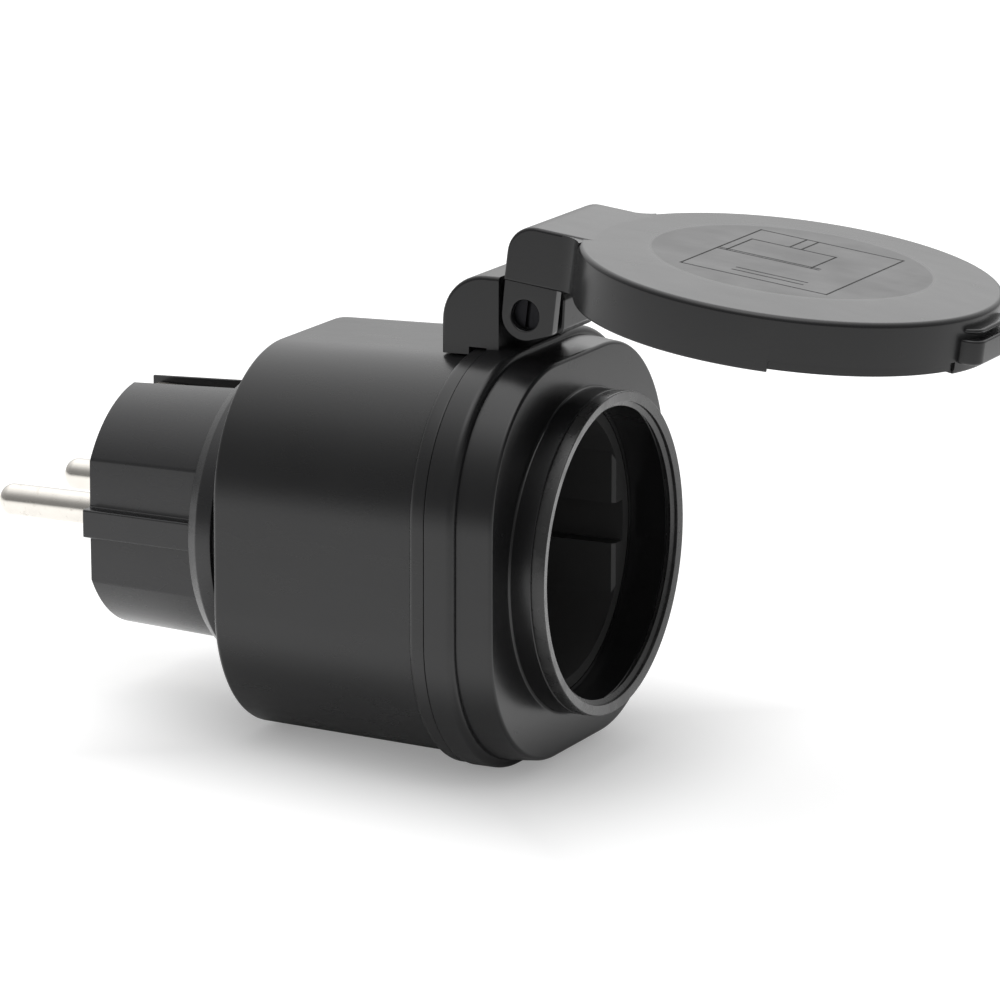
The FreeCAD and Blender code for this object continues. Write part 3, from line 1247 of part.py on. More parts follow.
def make_receiver(base):
    """The receiver module on its own small board, and its bent wire antenna."""
    x = module_across
    thick = size("module_board")
    half = size("module_half")
    middle = base + size("module_height") / 2
    lift = size("shield_height") / 2
    module = join("receiver_module", [
        block("module_board_plate", x, x + thick, -half, half, base, base + size("module_height")),
        block("module_shield", x + thick, x + thick + size("shield_depth"), -size("shield_half"),
              size("shield_half"), middle - lift, middle + lift)])
    keep(module, "receiver_module")
    across, bend = (board_half - size("antenna_inset")).value, sheet.get("antenna_bend")
    foot, top = base.value, base.value + sheet.get("antenna_rise")
    start, run = sheet.get("antenna_start"), sheet.get("antenna_run")
    corner = Vector(across, start, top)
    before = corner + Vector(0, 0, -bend)
    after = corner + Vector(0, -bend, 0)
    mid = corner + Vector(0, -bend, -bend) + Vector(0, math.sqrt(0.5), math.sqrt(0.5)) * bend
    path = Part.Wire([
        Part.LineSegment(Vector(across, start, foot), before).toShape(),
        Part.Arc(before, mid, after).toShape(),
        Part.LineSegment(after, corner + Vector(0, -run, 0)).toShape()])
    section = Part.Wire([Part.makeCircle(sheet.get("antenna_radius"), Vector(across, start, foot))])
    antenna = doc.addObject("Part::Feature", "antenna")
    antenna.Shape = path.makePipeShell([section], True, False)
    keep(antenna, "antenna")


def make_fasteners():
    """The housing, plug body, board and carrier screws, each set a group of separate solids."""
    head_seat = cup_back - size("counterbore_floor")
    housing = [screw(f"housing_screw_{i}", x, y, head_seat - size("screw_head_height"),
                     size("screw_head_height"), size("screw_head"), size("screw_shank"),
                     size("screw_length")) for i, (x, y) in enumerate(PILLARS, start=1)]
    keep(group("housing_screws", housing), "housing_screws")
    plug_head = rear_inner + size("plug_screw_head_height")
    plug = [screw(f"plug_screw_{i}", x, y, plug_head, size("plug_screw_head_height"),
                  size("plug_screw_head"), size("plug_screw_shank"), size("plug_screw_length"), False)
            for i, (x, y) in enumerate(PLUG_SCREWS, start=1)]
    keep(group("plug_screws", plug), "plug_screws")
    board_head = board_front + size("small_head_height")
    board = [screw(f"board_screw_{i}", ZERO, sign * board_post_offset, board_head,
                   size("small_head_height"), size("small_head"), size("small_shank"),
                   size("board_screw_length"), False) for i, sign in enumerate((1, -1), start=1)]
    keep(group("board_screws", board), "board_screws")
    carrier_head = carrier_front - size("carrier_ear_length") - size("small_head_height")
    carrier = [screw(f"carrier_screw_{i}", sign * size("carrier_screw_offset"), ZERO, carrier_head,
                     size("small_head_height"), size("small_head"), size("small_shank"),
                     size("carrier_screw_length")) for i, sign in enumerate((1, -1), start=1)]
    keep(group("carrier_screws", carrier), "carrier_screws")


# lid, drawn closed about the centre of its disc with its rim at zero depth


def lid_placement():
    """Where the lid's own frame lies in the world with the lid open."""
    hinge_y, hinge_z = hinge_height.value, hinge_depth.value
    rim = (front_face + size("lid_gap")).value
    centre_y = (hinge_height - lid_reach).value
    closed = Placement(Vector(0, centre_y, rim), Rotation())
    pivot = Vector(0, hinge_y, hinge_z)
    opened = Placement(Vector(0, 0, 0), Rotation(Vector(1, 0, 0), -sheet.get("lid_open_angle")), pivot)
    return DEPTH_TO_WORLD.multiply(opened).multiply(closed)


def make_lid():
    """The lid: crowned disc with a skirt, hollow arm, two ears for the pin and a thumb tab."""
    body = new_body("lid")
    outer, wall = lid_radius, size("lid_wall")
    top = size("lid_skirt")
    edge = top - size("lid_crown_rise")
    reach = lid_reach
    hinge_z = hinge_depth - front_face - size("lid_gap")
    under = hinge_z + size("arm_rise")
    rear = reach + size("arm_rear")
    arm_root = outer - size("arm_bury")
    ear_outer = size("arm_half") - size("ear_inset")
    ear_inner = ear_outer - size("ear_thickness")
    arm = new_sketch(body, "arm_section", offset=under)
    draw_rectangle(arm, -size("arm_half"), size("arm_half"), arm_root, rear)
    pad(body, "arm", arm, edge - under)
    rear_y, edge_z, side = rear.value, edge.value, size("arm_half").value

    def arm_rear_top(line, middle):
        return near(middle.y, rear_y) and near(middle.z, edge_z)

    round_edges(body, "arm_rear_round", size("arm_round"), arm_rear_top)

    def arm_sides(line, middle):
        outward = near(abs(middle.x), side) and near(line.BoundBox.XLength, 0)
        return outward and middle.z > under.value + 0.5 and middle.y > arm_root.value + 0.1

    round_edges(body, "arm_side_round", size("arm_edge_round"), arm_sides)
    profile = new_sketch(body, "lid_profile", "XZ_Plane")
    rim = size("lid_edge_round")
    rounded = [(outer - rim * (1 - math.cos(turn)), edge - rim * (1 - math.sin(turn)))
               for turn in (0, math.pi / 6, math.pi / 3, math.pi / 2)]
    draw_polygon(profile, [(ZERO, ZERO), (outer, ZERO)] + rounded
                 + [(lid_crown_radius, top), (ZERO, top)])
    revolve(body, "lid_disc", profile)
    plate = top - size("lid_crown_rise") - size("lid_plate")
    tab = new_sketch(body, "tab_section", offset=size("tab_low"))
    draw_rectangle(tab, -size("tab_half"), size("tab_half"), -outer - size("tab_reach"), -outer + wall)
    pad(body, "thumb_tab", tab, size("tab_thickness"))
    tab_end = -(outer + size("tab_reach")).value

    def tab_corner(line, middle):
        return near(middle.y, tab_end) and near(line.BoundBox.XLength, 0)

    round_edges(body, "tab_corners", size("tab_reach") * 0.8, tab_corner)
    hollow = new_sketch(body, "lid_hollow_section", offset=under - 1)
    draw_circle(hollow, ZERO, ZERO, outer - wall)
    pocket(body, "lid_hollow", hollow, plate - under + 1)
    arm_hollow = new_sketch(body, "arm_hollow_section", offset=under - 1)
    hollow_half = size("arm_half") - size("arm_wall")
    draw_rectangle(arm_hollow, -hollow_half, hollow_half, outer + 0.2, rear - size("arm_wall"))
    pocket(body, "arm_hollow", arm_hollow, plate - under + 1)
    for sign, name in ((-1, "left"), (1, "right")):
        start = -ear_outer if sign < 0 else ear_inner
        foot = new_sketch(body, f"ear_foot_{name}", "YZ_Plane", start)
        draw_polygon(foot, [
            (reach + size("ear_radius"), hinge_z), (reach + size("ear_radius"), under + 1),
            (reach - size("ear_front"), under + 1), (reach - size("ear_front"), hinge_z - size("ear_corner_drop")),
            (reach - size("ear_radius") * 0.32, hinge_z - size("ear_radius") * 0.945), (reach, hinge_z)])
        pad(body, f"ear_{name}", foot, size("ear_thickness"))
        eye = new_sketch(body, f"ear_eye_{name}", "YZ_Plane", start)
        draw_circle(eye, reach, hinge_z, size("ear_radius"))
        pad(body, f"ear_round_{name}", eye, size("ear_thickness"))
    bore = new_sketch(body, "pin_bore_section", "YZ_Plane", -ear_outer - 1)
    draw_circle(bore, reach, hinge_z, size("hinge_pin_radius") + size("close_fit"))
    pocket(body, "pin_bore", bore, ear_outer * 2 + 2)
    keep(body, "lid", lid_placement())
    ring_top = plate
    tube("lid_gasket", lid_gasket_inner, lid_gasket_outer,
         ring_top - size("lid_gasket_length"), ring_top, lid_placement())
    pin = new_body("hinge_pin")
    pin_half = ear_outer - size("hinge_pin_sink")
    section = new_sketch(pin, "hinge_pin_section", "YZ_Plane", -pin_half)
    draw_circle(section, reach, hinge_z, size("hinge_pin_radius"))
    pad(pin, "hinge_pin_rod", section, pin_half * 2)
    slot = size("pin_slot_width") / 2
    span = size("hinge_pin_radius") + 0.5
    for start, name in ((-pin_half - 1, "left"), (pin_half - size("pin_slot_width"), "right")):
        groove = new_sketch(pin, f"hinge_pin_slot_{name}", "YZ_Plane", start)
        draw_rectangle(groove, reach - slot, reach + slot, hinge_z - span, hinge_z + span)
        pocket(pin, f"hinge_pin_slot_cut_{name}", groove, size("pin_slot_width") + 1)
    keep(pin, "hinge_pin", lid_placement())


make_plug_body()
make_plug_contacts()
make_rear_housing()
make_front_cover()
make_gaskets()
make_contact_cup()
make_shutter()
make_carrier()
make_contacts()
make_board()
make_components()
make_fasteners()
make_lid()
doc.recompute()

for thing in doc.Objects:
    if "Invalid" in thing.State or "Error" in thing.State:
        raise RuntimeError(f"{thing.Name} failed: {thing.State}")
os.makedirs("parts", exist_ok=True)
for part in SUB_PARTS:
    if part.Shape.isNull() or not part.Shape.isValid() or not part.Shape.Solids:
        raise RuntimeError(f"{part.Label} has no valid solid")
    part.Shape.exportStep(f"parts/{part.Label}.step")
    print(f"{part.Label}: {len(part.Shape.Solids)} solid, {part.Shape.Volume:.0f} mm3")
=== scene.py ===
import logging
import math
from dataclasses import dataclass, field
from enum import Enum, IntEnum
from typing import Any, Callable, Iterable, Sequence

import bmesh
import bpy
from mathutils import Matrix, Vector


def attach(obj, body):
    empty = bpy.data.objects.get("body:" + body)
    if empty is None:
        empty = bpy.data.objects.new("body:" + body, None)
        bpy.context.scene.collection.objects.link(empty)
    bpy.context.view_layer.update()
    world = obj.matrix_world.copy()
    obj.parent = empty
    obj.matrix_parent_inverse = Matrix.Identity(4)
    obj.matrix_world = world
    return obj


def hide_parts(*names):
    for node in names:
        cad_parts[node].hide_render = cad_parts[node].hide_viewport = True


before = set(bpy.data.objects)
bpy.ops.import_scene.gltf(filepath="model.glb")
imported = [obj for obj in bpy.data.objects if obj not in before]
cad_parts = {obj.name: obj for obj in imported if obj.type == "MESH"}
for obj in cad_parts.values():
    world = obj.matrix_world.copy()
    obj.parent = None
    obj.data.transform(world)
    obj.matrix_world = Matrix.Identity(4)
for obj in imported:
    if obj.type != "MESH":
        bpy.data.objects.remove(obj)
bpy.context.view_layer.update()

# A plug-in switched socket with a splash lid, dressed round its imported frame.
# Lengths are in millimetres until a point is placed.

MM = 0.001
LOG = logging.getLogger("remote_socket")

Point = tuple[float, float, float]
Spot = tuple[float, float]
Pair = tuple[float, float]
Colour = tuple[float, float, float]
Placing = Callable[[float, float, float], Vector]

HINGE_UP, HINGE_DEEP = 35.8, 68.0
LID_TILT = math.radians(6.8)
LID_CENTRE = 35.1
ROUND_COUNT = 192
SHARP_EDGE = math.radians(35.0)
WHITE = (1.0, 1.0, 1.0, 1.0)
SCREW_SPOTS: list[Spot] = [(x, z) for x in (-18.4, 18.4) for z in (-18.4, 18.4)]


def in_socket(across: float, up: float, deep: float) -> Vector:
    """Place a point given in millimetres to the right, up, and from the plug's end face to the mouth."""
    return Vector((across, -deep, up)) * MM


def in_lid(across: float, out: float, rise: float) -> Vector:
    """Place a point given in millimetres from the hinge pin, in the open lid's own directions.

    Args:
        across: Distance to the right.
        out: Distance from the pin along the lid.
        rise: Distance from the pin towards the lid's outer face.

    Returns:
        The point in metres.
    """
    forward = out * math.cos(LID_TILT) + rise * math.sin(LID_TILT)
    up = rise * math.cos(LID_TILT) - out * math.sin(LID_TILT)
    return in_socket(across, HINGE_UP + up, HINGE_DEEP + forward)


class Body(Enum):
    """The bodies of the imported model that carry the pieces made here."""

    SOCKET = "socket"
    LID = "splash_lid"


class Side(IntEnum):
    """A side of the middle, as the mouth is faced; below counts as left and above as right."""

    LEFT = -1
    RIGHT = 1


class Way(IntEnum):
    """The direction that an outline is extruded in."""

    ACROSS = 0
    DEEP = 2


class Axis(IntEnum):
    """A direction of the model's own frame."""

    ACROSS = 0
    ALONG = 1
    UP = 2


# shader tools


class Value:
    """A number that varies over a surface. Arithmetic on it adds Math nodes."""

    def __init__(self, kit: "Kit", socket: bpy.types.NodeSocket) -> None:
        self.kit = kit
        self.socket = socket

    def __add__(self, other: Any) -> "Value":
        """Sum."""
        return self.kit.maths("ADD", self, other)

    def __radd__(self, other: Any) -> "Value":
        """Sum, reflected."""
        return self.kit.maths("ADD", other, self)

    def __sub__(self, other: Any) -> "Value":
        """Difference."""
        return self.kit.maths("SUBTRACT", self, other)

    def __rsub__(self, other: Any) -> "Value":
        """Difference, reflected."""
        return self.kit.maths("SUBTRACT", other, self)

    def __mul__(self, other: Any) -> "Value":
        """Product."""
        return self.kit.maths("MULTIPLY", self, other)

    def __rmul__(self, other: Any) -> "Value":
        """Product, reflected."""
        return self.kit.maths("MULTIPLY", other, self)

    def __gt__(self, other: Any) -> "Value":
        """One where this is larger, else zero."""
        return self.kit.maths("GREATER_THAN", self, other)

    def __lt__(self, other: Any) -> "Value":
        """One where this is smaller, else zero."""
        return self.kit.maths("LESS_THAN", self, other)

    def __abs__(self) -> "Value":
        """Size without its sign."""
        return self.kit.maths("ABSOLUTE", self)

    def fade(self, low: float, high: float) -> "Value":
        """Rise smoothly from zero to one.

        Args:
            low: Where the rise starts.
            high: Where it ends.

        Returns:
            The faded value.
        """
        node = self.kit.node("ShaderNodeMapRange", {"interpolation_type": "SMOOTHSTEP"},
                             {"Value": self, "From Min": low, "From Max": high})
        return self.kit.value(node)


class Kit:
    """Makes the nodes of one material."""

    def __init__(self, tree: bpy.types.NodeTree) -> None:
        """Start on an empty tree."""
        self.tree = tree
        self._coords: bpy.types.Node | None = None

    def node(self, kind: str, settings: dict[str, Any] | None = None,
             sockets: dict[str | int, Any] | None = None) -> bpy.types.Node:
        """Add a node.

        Args:
            kind: Blender's name of the node's type.
            settings: Properties, set before anything else.
            sockets: Values or links of its inputs, by name, identifier or place.

        Returns:
            The node.
        """
        node = self.tree.nodes.new(kind)
        for name, setting in (settings or {}).items():
            setattr(node, name, setting)
        for key, given in (sockets or {}).items():
            target = self._input(node, key)
            if isinstance(given, Value):
                self.tree.links.new(given.socket, target)
            elif isinstance(given, bpy.types.NodeSocket):
                self.tree.links.new(given, target)
            else:
                target.default_value = given
        return node

    @staticmethod
    def _input(node: bpy.types.Node, key: str | int) -> bpy.types.NodeSocket:
        """Find an input by its place, identifier or name."""
        named = [socket for socket in node.inputs if socket.identifier == key]
        return named[0] if named else node.inputs[key]

    def value(self, node: bpy.types.Node, key: str | int = 0) -> Value:
        """Wrap a node's output as a number."""
        return Value(self, node.outputs[key])

    def maths(self, operation: str, *terms: Any) -> Value:
        """Combine numbers with a Math node."""
        return self.value(self.node("ShaderNodeMath", {"operation": operation}, dict(enumerate(terms))))

    def coords(self) -> bpy.types.NodeSocket:
        """The surface point in the piece's own coordinates, in metres."""
        self._coords = self._coords or self.node("ShaderNodeTexCoord")
        return self._coords.outputs["Object"]

    def axes(self) -> tuple[Value, Value, Value]:
        """The surface point's three coordinates, in millimetres."""
        parts = self.node("ShaderNodeSeparateXYZ", None, {"Vector": self.stretched((1, 1, 1))})
        return self.value(parts, 0), self.value(parts, 1), self.value(parts, 2)

    def stretched(self, factors: Point) -> bpy.types.NodeSocket:
        """The surface point in millimetres, each axis multiplied."""
        sockets = {0: self.coords(), 1: tuple(f / MM for f in factors)}
        return self.node("ShaderNodeVectorMath", {"operation": "MULTIPLY"}, sockets).outputs[0]

    def noise(self, size: float, detail: float = 2.0, factors: Point = (1, 1, 1)) -> Value:
        """Soft noise around one half, with blotches of that size in millimetres."""
        sockets = {"Vector": self.stretched(factors), "Scale": 1.0 / size, "Detail": detail}
        return self.value(self.node("ShaderNodeTexNoise", None, sockets))

    def cells(self, size: float, feature: str = "F1") -> Value:
        """Distance in a pattern of cells of that size in millimetres."""
        sockets = {"Vector": self.stretched((1, 1, 1)), "Scale": 1.0 / size}
        return self.value(self.node("ShaderNodeTexVoronoi", {"feature": feature}, sockets))

    def mix(self, factor: Any, first: Any, second: Any) -> bpy.types.NodeSocket:
        """Blend two colours.

        Args:
            factor: Zero gives the first, one the second.
            first: A colour or a colour socket.
            second: A colour or a colour socket.

        Returns:
            The blended colour.
        """
        def four(colour: Any) -> Any:
            """A plain colour gets its alpha."""
            return (*colour, 1.0) if isinstance(colour, tuple) else colour

        node = self.node("ShaderNodeMix", {"data_type": "RGBA"}, {
            "Factor_Float": factor, "A_Color": four(first), "B_Color": four(second)})
        return node.outputs[2]

    def lobe(self, direction: bpy.types.NodeSocket, aim: Point, tightness: float) -> Value:
        """A soft round patch of light.

        Args:
            direction: The direction looked at.
            aim: Where its middle is.
            tightness: How fast it fades.

        Returns:
            One in its middle, falling off all round.
        """
        unit = tuple(Vector(aim).normalized())
        dot = self.node("ShaderNodeVectorMath", {"operation": "DOT_PRODUCT"}, {0: direction, 1: unit})
        return self.maths("EXPONENT", (self.value(dot, "Value") - 1) * tightness)

    def seen(self, path: bpy.types.Node) -> Value:
        """Find the rays that show the background.

        Args:
            path: A Light Path node.

        Returns:
            One for camera, glossy and transmission rays, else zero.
        """
        rays = ("Is Camera Ray", "Is Glossy Ray", "Is Transmission Ray")
        camera, glossy, through = (self.value(path, ray) for ray in rays)
        return self.maths("MAXIMUM", self.maths("MAXIMUM", camera, glossy), through)

    def bump(self, height: Value, depth: float) -> bpy.types.NodeSocket:
        """Relief of that depth in millimetres."""
        sockets = {"Strength": 1.0, "Distance": depth * MM, "Height": height}
        return self.node("ShaderNodeBump", None, sockets).outputs[0]

    def shader(self, fixed: dict[str, Any], varying: dict[str, Any]) -> None:
        """Add the output and the surface shader, with sockets that are fixed and that vary."""
        surface = self.node("ShaderNodeBsdfPrincipled", None, {**fixed, **varying})
        self.node("ShaderNodeOutputMaterial", None, {"Surface": surface.outputs[0]})


def lighter(colour: Colour, factor: float) -> Colour:
    """A colour multiplied by a number, up to white."""
    return tuple(min(1.0, c * factor) for c in colour)


def start_tree(owner: bpy.types.Material | bpy.types.World) -> Kit:
    """Empty a node tree.

    Args:
        owner: The material or world that has it.

    Returns:
        The tree's kit.
    """
    owner.use_nodes = True
    owner.node_tree.nodes.clear()
    return Kit(owner.node_tree)


# finishes


@dataclass(frozen=True)
class Finish:
    """A surface finish; each kind of finish paints its own nodes."""

    name: str

    def paint(self, kit: Kit) -> None:
        """Fill the material's tree."""
        raise NotImplementedError

    def build(self) -> bpy.types.Material:
        """Make the finish's material, once.

        Returns:
            The material.
        """
        made = bpy.data.materials.get("finish_" + self.name)
        if not made:
            made = bpy.data.materials.new("finish_" + self.name)
            self.paint(start_tree(made))
        return made


@dataclass(frozen=True)
class Moulded(Finish):
    """Injection moulded plastic: fine grain, flow marks, specks of dust, and on the lid a matt middle whose
    colour is darkened as painted shade.
    """

    colour: Colour
    roughness: float
    grain: float = 0.35
    relief: float = 0.004
    dust: float = 0.12
    specular: float = 0.5
    cloud: float = 9.0
    streak: float = 2.2
    flow: Point = (1.0, 0.25, 1.0)
    speck_size: float = 0.45
    speck_patch: float = 6.0
    speck: Colour = (0.3, 0.29, 0.28)
    painted_shade_panel: float = 0.0
    panel_edge: float = 0.25

    def middle(self, kit: Kit) -> Value:
        """Find the lid's middle panel, matt and darkened as painted shade.

        Args:
            kit: The material's kit.

        Returns:
            One on the panel, zero outside it.
        """
        across, along, up = kit.axes()
        out = (along + HINGE_DEEP) * -math.cos(LID_TILT) - (up - HINGE_UP) * math.sin(LID_TILT) - LID_CENTRE
        low, high = self.painted_shade_panel - self.panel_edge, self.painted_shade_panel + self.panel_edge
        return 1 - (across * across + out * out).fade(low ** 2, high ** 2)

    def paint(self, kit: Kit) -> None:
        """Put grain in the relief, streaks in the gloss, and clouds and specks in the colour; on the lid, a
        darker middle in the colour is painted shade.

        Args:
            kit: The material's kit.
        """
        grain = kit.noise(self.grain, 3.0)
        pits = kit.cells(self.grain * 1.6).fade(0.1, 0.6)
        clouds = kit.noise(self.cloud, 3.0)
        streaks = kit.noise(self.streak, 2.0, self.flow)
        specks = kit.noise(self.speck_size, 1.0).fade(0.76, 0.82)
        specks = specks * kit.noise(self.speck_patch, 1.0).fade(0.5, 0.75)
        tone = kit.mix(clouds, lighter(self.colour, 0.82), lighter(self.colour, 1.18))
        tone = kit.mix(specks * self.dust, tone, self.speck)
        gloss = self.roughness + (streaks - 0.5) * 0.05 + (clouds - 0.5) * 0.04
        if self.painted_shade_panel:
            painted_shade_panel = self.middle(kit)
            # Painted shade: the lid's middle darkened in clouds; the roughness added below makes it matt.
            tone = kit.mix(painted_shade_panel * clouds, tone, lighter(self.colour, 0.6))
            gloss = gloss + painted_shade_panel * clouds * 0.14
        relief = grain * 0.6 + pits * 0.4
        kit.shader({"Specular IOR Level": self.specular}, {
            "Base Color": tone, "Roughness": gloss + specks * self.dust,
            "Normal": kit.bump(relief, self.relief)})


@dataclass(frozen=True)
class Rubber(Finish):
    """Soft black rubber with a faint bloom and a fine orange-peel surface."""

    colour: Colour = (0.03, 0.03, 0.03)
    roughness: float = 0.26
    peel: float = 0.5
    bloom: float = 3.0

    def paint(self, kit: Kit) -> None:
        """Put bloom in the colour and peel in the relief.

        Args:
            kit: The material's kit.
        """
        peel = kit.noise(self.peel)
        bloom = kit.noise(self.bloom, 3.0).fade(0.45, 0.75)
        tone = kit.mix(bloom * 0.4, self.colour, lighter(self.colour, 2.0))
        kit.shader({}, {"Base Color": tone, "Roughness": self.roughness + bloom * 0.12,
                        "Normal": kit.bump(peel, 0.01)})


@dataclass(frozen=True)
class Plated(Finish):
    """Turned or stamped metal: tool lines along one direction, plating clouds and tarnish."""

    colour: Colour
    roughness: float
    lines: Point = (1.0, 0.06, 1.0)
    line_width: float = 0.25
    line_depth: float = 0.002
    cloud: float = 2.5
    mark: float = 0.9
    tarnish: Colour = (0.3, 0.26, 0.2)

    def paint(self, kit: Kit) -> None:
        """Put tool lines in the relief and gloss, and clouds in the colour.

        Args:
            kit: The material's kit.
        """
        tooling = kit.noise(self.line_width, 3.0, self.lines)
        clouds = kit.noise(self.cloud, 3.0)
        marks = kit.noise(self.mark, 4.0).fade(0.6, 0.75)
        tone = kit.mix(clouds.fade(0.35, 0.8) * 0.3, self.colour, lighter(self.colour, 0.8))
        tone = kit.mix(marks * 0.2, tone, self.tarnish)
        gloss = self.roughness + (tooling - 0.5) * 0.16 + marks * 0.12
        kit.shader({"Metallic": 1.0}, {"Base Color": tone, "Roughness": gloss,
                                       "Normal": kit.bump(tooling, self.line_depth)})


@dataclass(frozen=True)
class Laminate(Finish):
    """A circuit board: solder mask over copper tracks, with bare pads."""

    mask: Colour = (0.012, 0.09, 0.03)
    track: Colour = (0.03, 0.17, 0.06)
    pad: Colour = (0.62, 0.6, 0.55)
    pitch: float = 4.2

    def paint(self, kit: Kit) -> None:
        """Put tracks and pads in the colour, gloss and relief.

        Args:
            kit: The material's kit.
        """
        tracks = 1 - kit.cells(self.pitch, "DISTANCE_TO_EDGE").fade(0.05, 0.09)
        pads = 1 - kit.cells(self.pitch).fade(0.14, 0.18)
        weave = kit.noise(0.3, 2.0, (1.0, 1.0, 0.3))
        tone = kit.mix(tracks, kit.mix(weave * 0.5, self.mask, lighter(self.mask, 1.4)), self.track)
        tone = kit.mix(pads, tone, self.pad)
        kit.shader({}, {"Base Color": tone, "Metallic": pads * 0.9, "Roughness": 0.32 + weave * 0.12,
                        "Normal": kit.bump(tracks * 0.7 + weave * 0.3, 0.03)})


@dataclass(frozen=True)
class Sleeved(Finish):
    """A component's sleeve or coat, with a band between two places on an axis, and shrink marks."""

    colour: Colour
    band: Colour
    axis: Axis
    low: float
    high: float
    roughness: float = 0.35

    def paint(self, kit: Kit) -> None:
        """Put the band in the colour and wrinkles in the relief.

        Args:
            kit: The material's kit.
        """
        along = kit.axes()[self.axis]
        inside = (along > self.low) * (along < self.high)
        wrinkles = kit.noise(1.2, 3.0)
        tone = kit.mix(inside, lighter(self.colour, 0.9), self.band)
        tone = kit.mix(wrinkles * 0.25, tone, lighter(self.colour, 1.2))
        kit.shader({}, {"Base Color": tone, "Roughness": self.roughness + wrinkles * 0.15,
                        "Normal": kit.bump(wrinkles, 0.04)})


HOUSING = Moulded("housing", (0.0105, 0.0105, 0.011), 0.28, grain=0.4, relief=0.005, dust=0.04)
COVER = Moulded("cover", (0.0095, 0.0095, 0.010), 0.26, grain=0.5, relief=0.003, dust=0.03)
PLUG = Moulded("plug", (0.020, 0.020, 0.021), 0.27, grain=0.5, relief=0.004)
LID = Moulded("lid", (0.0105, 0.0105, 0.011), 0.26, grain=0.45, relief=0.003, dust=0.0, painted_shade_panel=19.8)
CUP = Moulded("cup", (0.045, 0.045, 0.045), 0.4, grain=0.5, relief=0.003, specular=0.25)
# Dark strips put where engraved grooves would hold shade: painted shade.
GROOVE_SHADE = Moulded("painted_groove_shade", (0.006, 0.006, 0.006), 0.6, relief=0.004, dust=0.0, specular=0.2)
SHUTTER = Moulded("shutter", (0.03, 0.03, 0.032), 0.4)
CARRIER = Moulded("carrier", (0.45, 0.44, 0.41), 0.45, relief=0.004)
RUBBER = Rubber("rubber")
NICKEL = Plated("nickel", (0.74, 0.71, 0.66), 0.2)
DULL_NICKEL = Plated("dull_nickel", (0.36, 0.345, 0.32), 0.36)
BRASS = Plated("brass", (0.75, 0.58, 0.29), 0.28, lines=(0.06, 1.0, 0.06))
ZINC = Plated("zinc", (0.6, 0.61, 0.63), 0.3, lines=(1.0, 1.0, 1.0))
BLACK_STEEL = Plated("black_steel", (0.022, 0.022, 0.024), 0.45, tarnish=(0.012, 0.012, 0.012))
COPPER = Plated("copper", (0.85, 0.42, 0.25), 0.3, lines=(1.0, 1.0, 0.1))
BOARD = Laminate("laminate")
RELAY = Sleeved("relay", (0.02, 0.06, 0.2), (0.02, 0.05, 0.16), Axis.ALONG, -33.8, -32.8)
FILM = Sleeved("film", (0.55, 0.4, 0.06), (0.5, 0.36, 0.05), Axis.ALONG, -33.8, -33.0)
CAN = Sleeved("can", (0.02, 0.02, 0.06), (0.55, 0.55, 0.56), Axis.ALONG, -44.8, -43.5)
CHIP = Sleeved("chip", (0.015, 0.015, 0.015), (0.3, 0.3, 0.3), Axis.ACROSS, -3.2, -2.6)
VARISTOR = Sleeved("varistor", (0.02, 0.1, 0.35), (0.02, 0.09, 0.3), Axis.ALONG, -33.8, -33.0)
FUSE = Sleeved("fuse", (0.55, 0.5, 0.42), (0.62, 0.62, 0.63), Axis.UP, 3.6, 9.6)

NODE_FINISHES: dict[str, Finish] = {
    "plug_earth_strap": DULL_NICKEL, "plug_gasket": RUBBER, "housing_gasket": RUBBER, "lid_gasket": RUBBER,
    "shutter": SHUTTER, "contact_carrier": CARRIER, "line_contact": BRASS, "neutral_contact": BRASS,
    "earth_clip": DULL_NICKEL, "earth_link": BRASS, "circuit_board": BOARD, "relay": RELAY,
    "film_capacitor": FILM, "smoothing_capacitor": CAN, "rectifier": CHIP, "varistor": VARISTOR,
    "fuse": FUSE, "receiver_module": BOARD, "antenna": COPPER, "shutter_spring": ZINC,
    "housing_screws": ZINC, "plug_screws": ZINC, "board_screws": ZINC, "carrier_screws": ZINC,
    "hinge_pin": BLACK_STEEL,
}


# mesh tools


def arc(centre: Spot, radius: float, start: float, end: float, steps: int) -> list[Spot]:
    """Points on an arc between two angles in degrees, both ends included."""
    turns = [math.radians(start + (end - start) * i / steps) for i in range(steps + 1)]
    return [(centre[0] + radius * math.cos(t), centre[1] + radius * math.sin(t)) for t in turns]


def eased(corners: Sequence[Point], steps: int = 6) -> list[Spot]:
    """Round the corners of an outline.

    Args:
        corners: Each corner's two coordinates and its radius.
        steps: Number of pieces in each rounding.

    Returns:
        The outline's points.
    """
    points: list[Spot] = []
    count = len(corners)
    for i, (x, y, radius) in enumerate(corners):
        here = Vector((x, y))
        if radius <= 0:
            points.append((x, y))
            continue
        before = (Vector(corners[i - 1][:2]) - here).normalized()
        after = (Vector(corners[(i + 1) % count][:2]) - here).normalized()
        half = before.angle(after) / 2
        bisector = (before + after).normalized()
        centre = here + bisector * (radius / math.sin(half))
        first = here + before * (radius / math.tan(half)) - centre
        last = here + after * (radius / math.tan(half)) - centre
        turn = first.angle_signed(last)
        for k in range(steps + 1):
            spoke = first.copy()
            spoke.rotate(Matrix.Rotation(-turn * k / steps, 2))
            points.append(tuple(centre + spoke))
    return points


def quarter(radius: float, start: float, turn: int = 1, steps: int = 6) -> list[Spot]:
    """Insets and depths of a rounding from the face at start, deeper with turn 1 and back with -1."""
    turns = [math.pi / 2 * i / steps for i in range(steps + 1)]
    return [(radius * (1 - math.sin(t)), start + turn * radius * (1 - math.cos(t))) for t in turns]


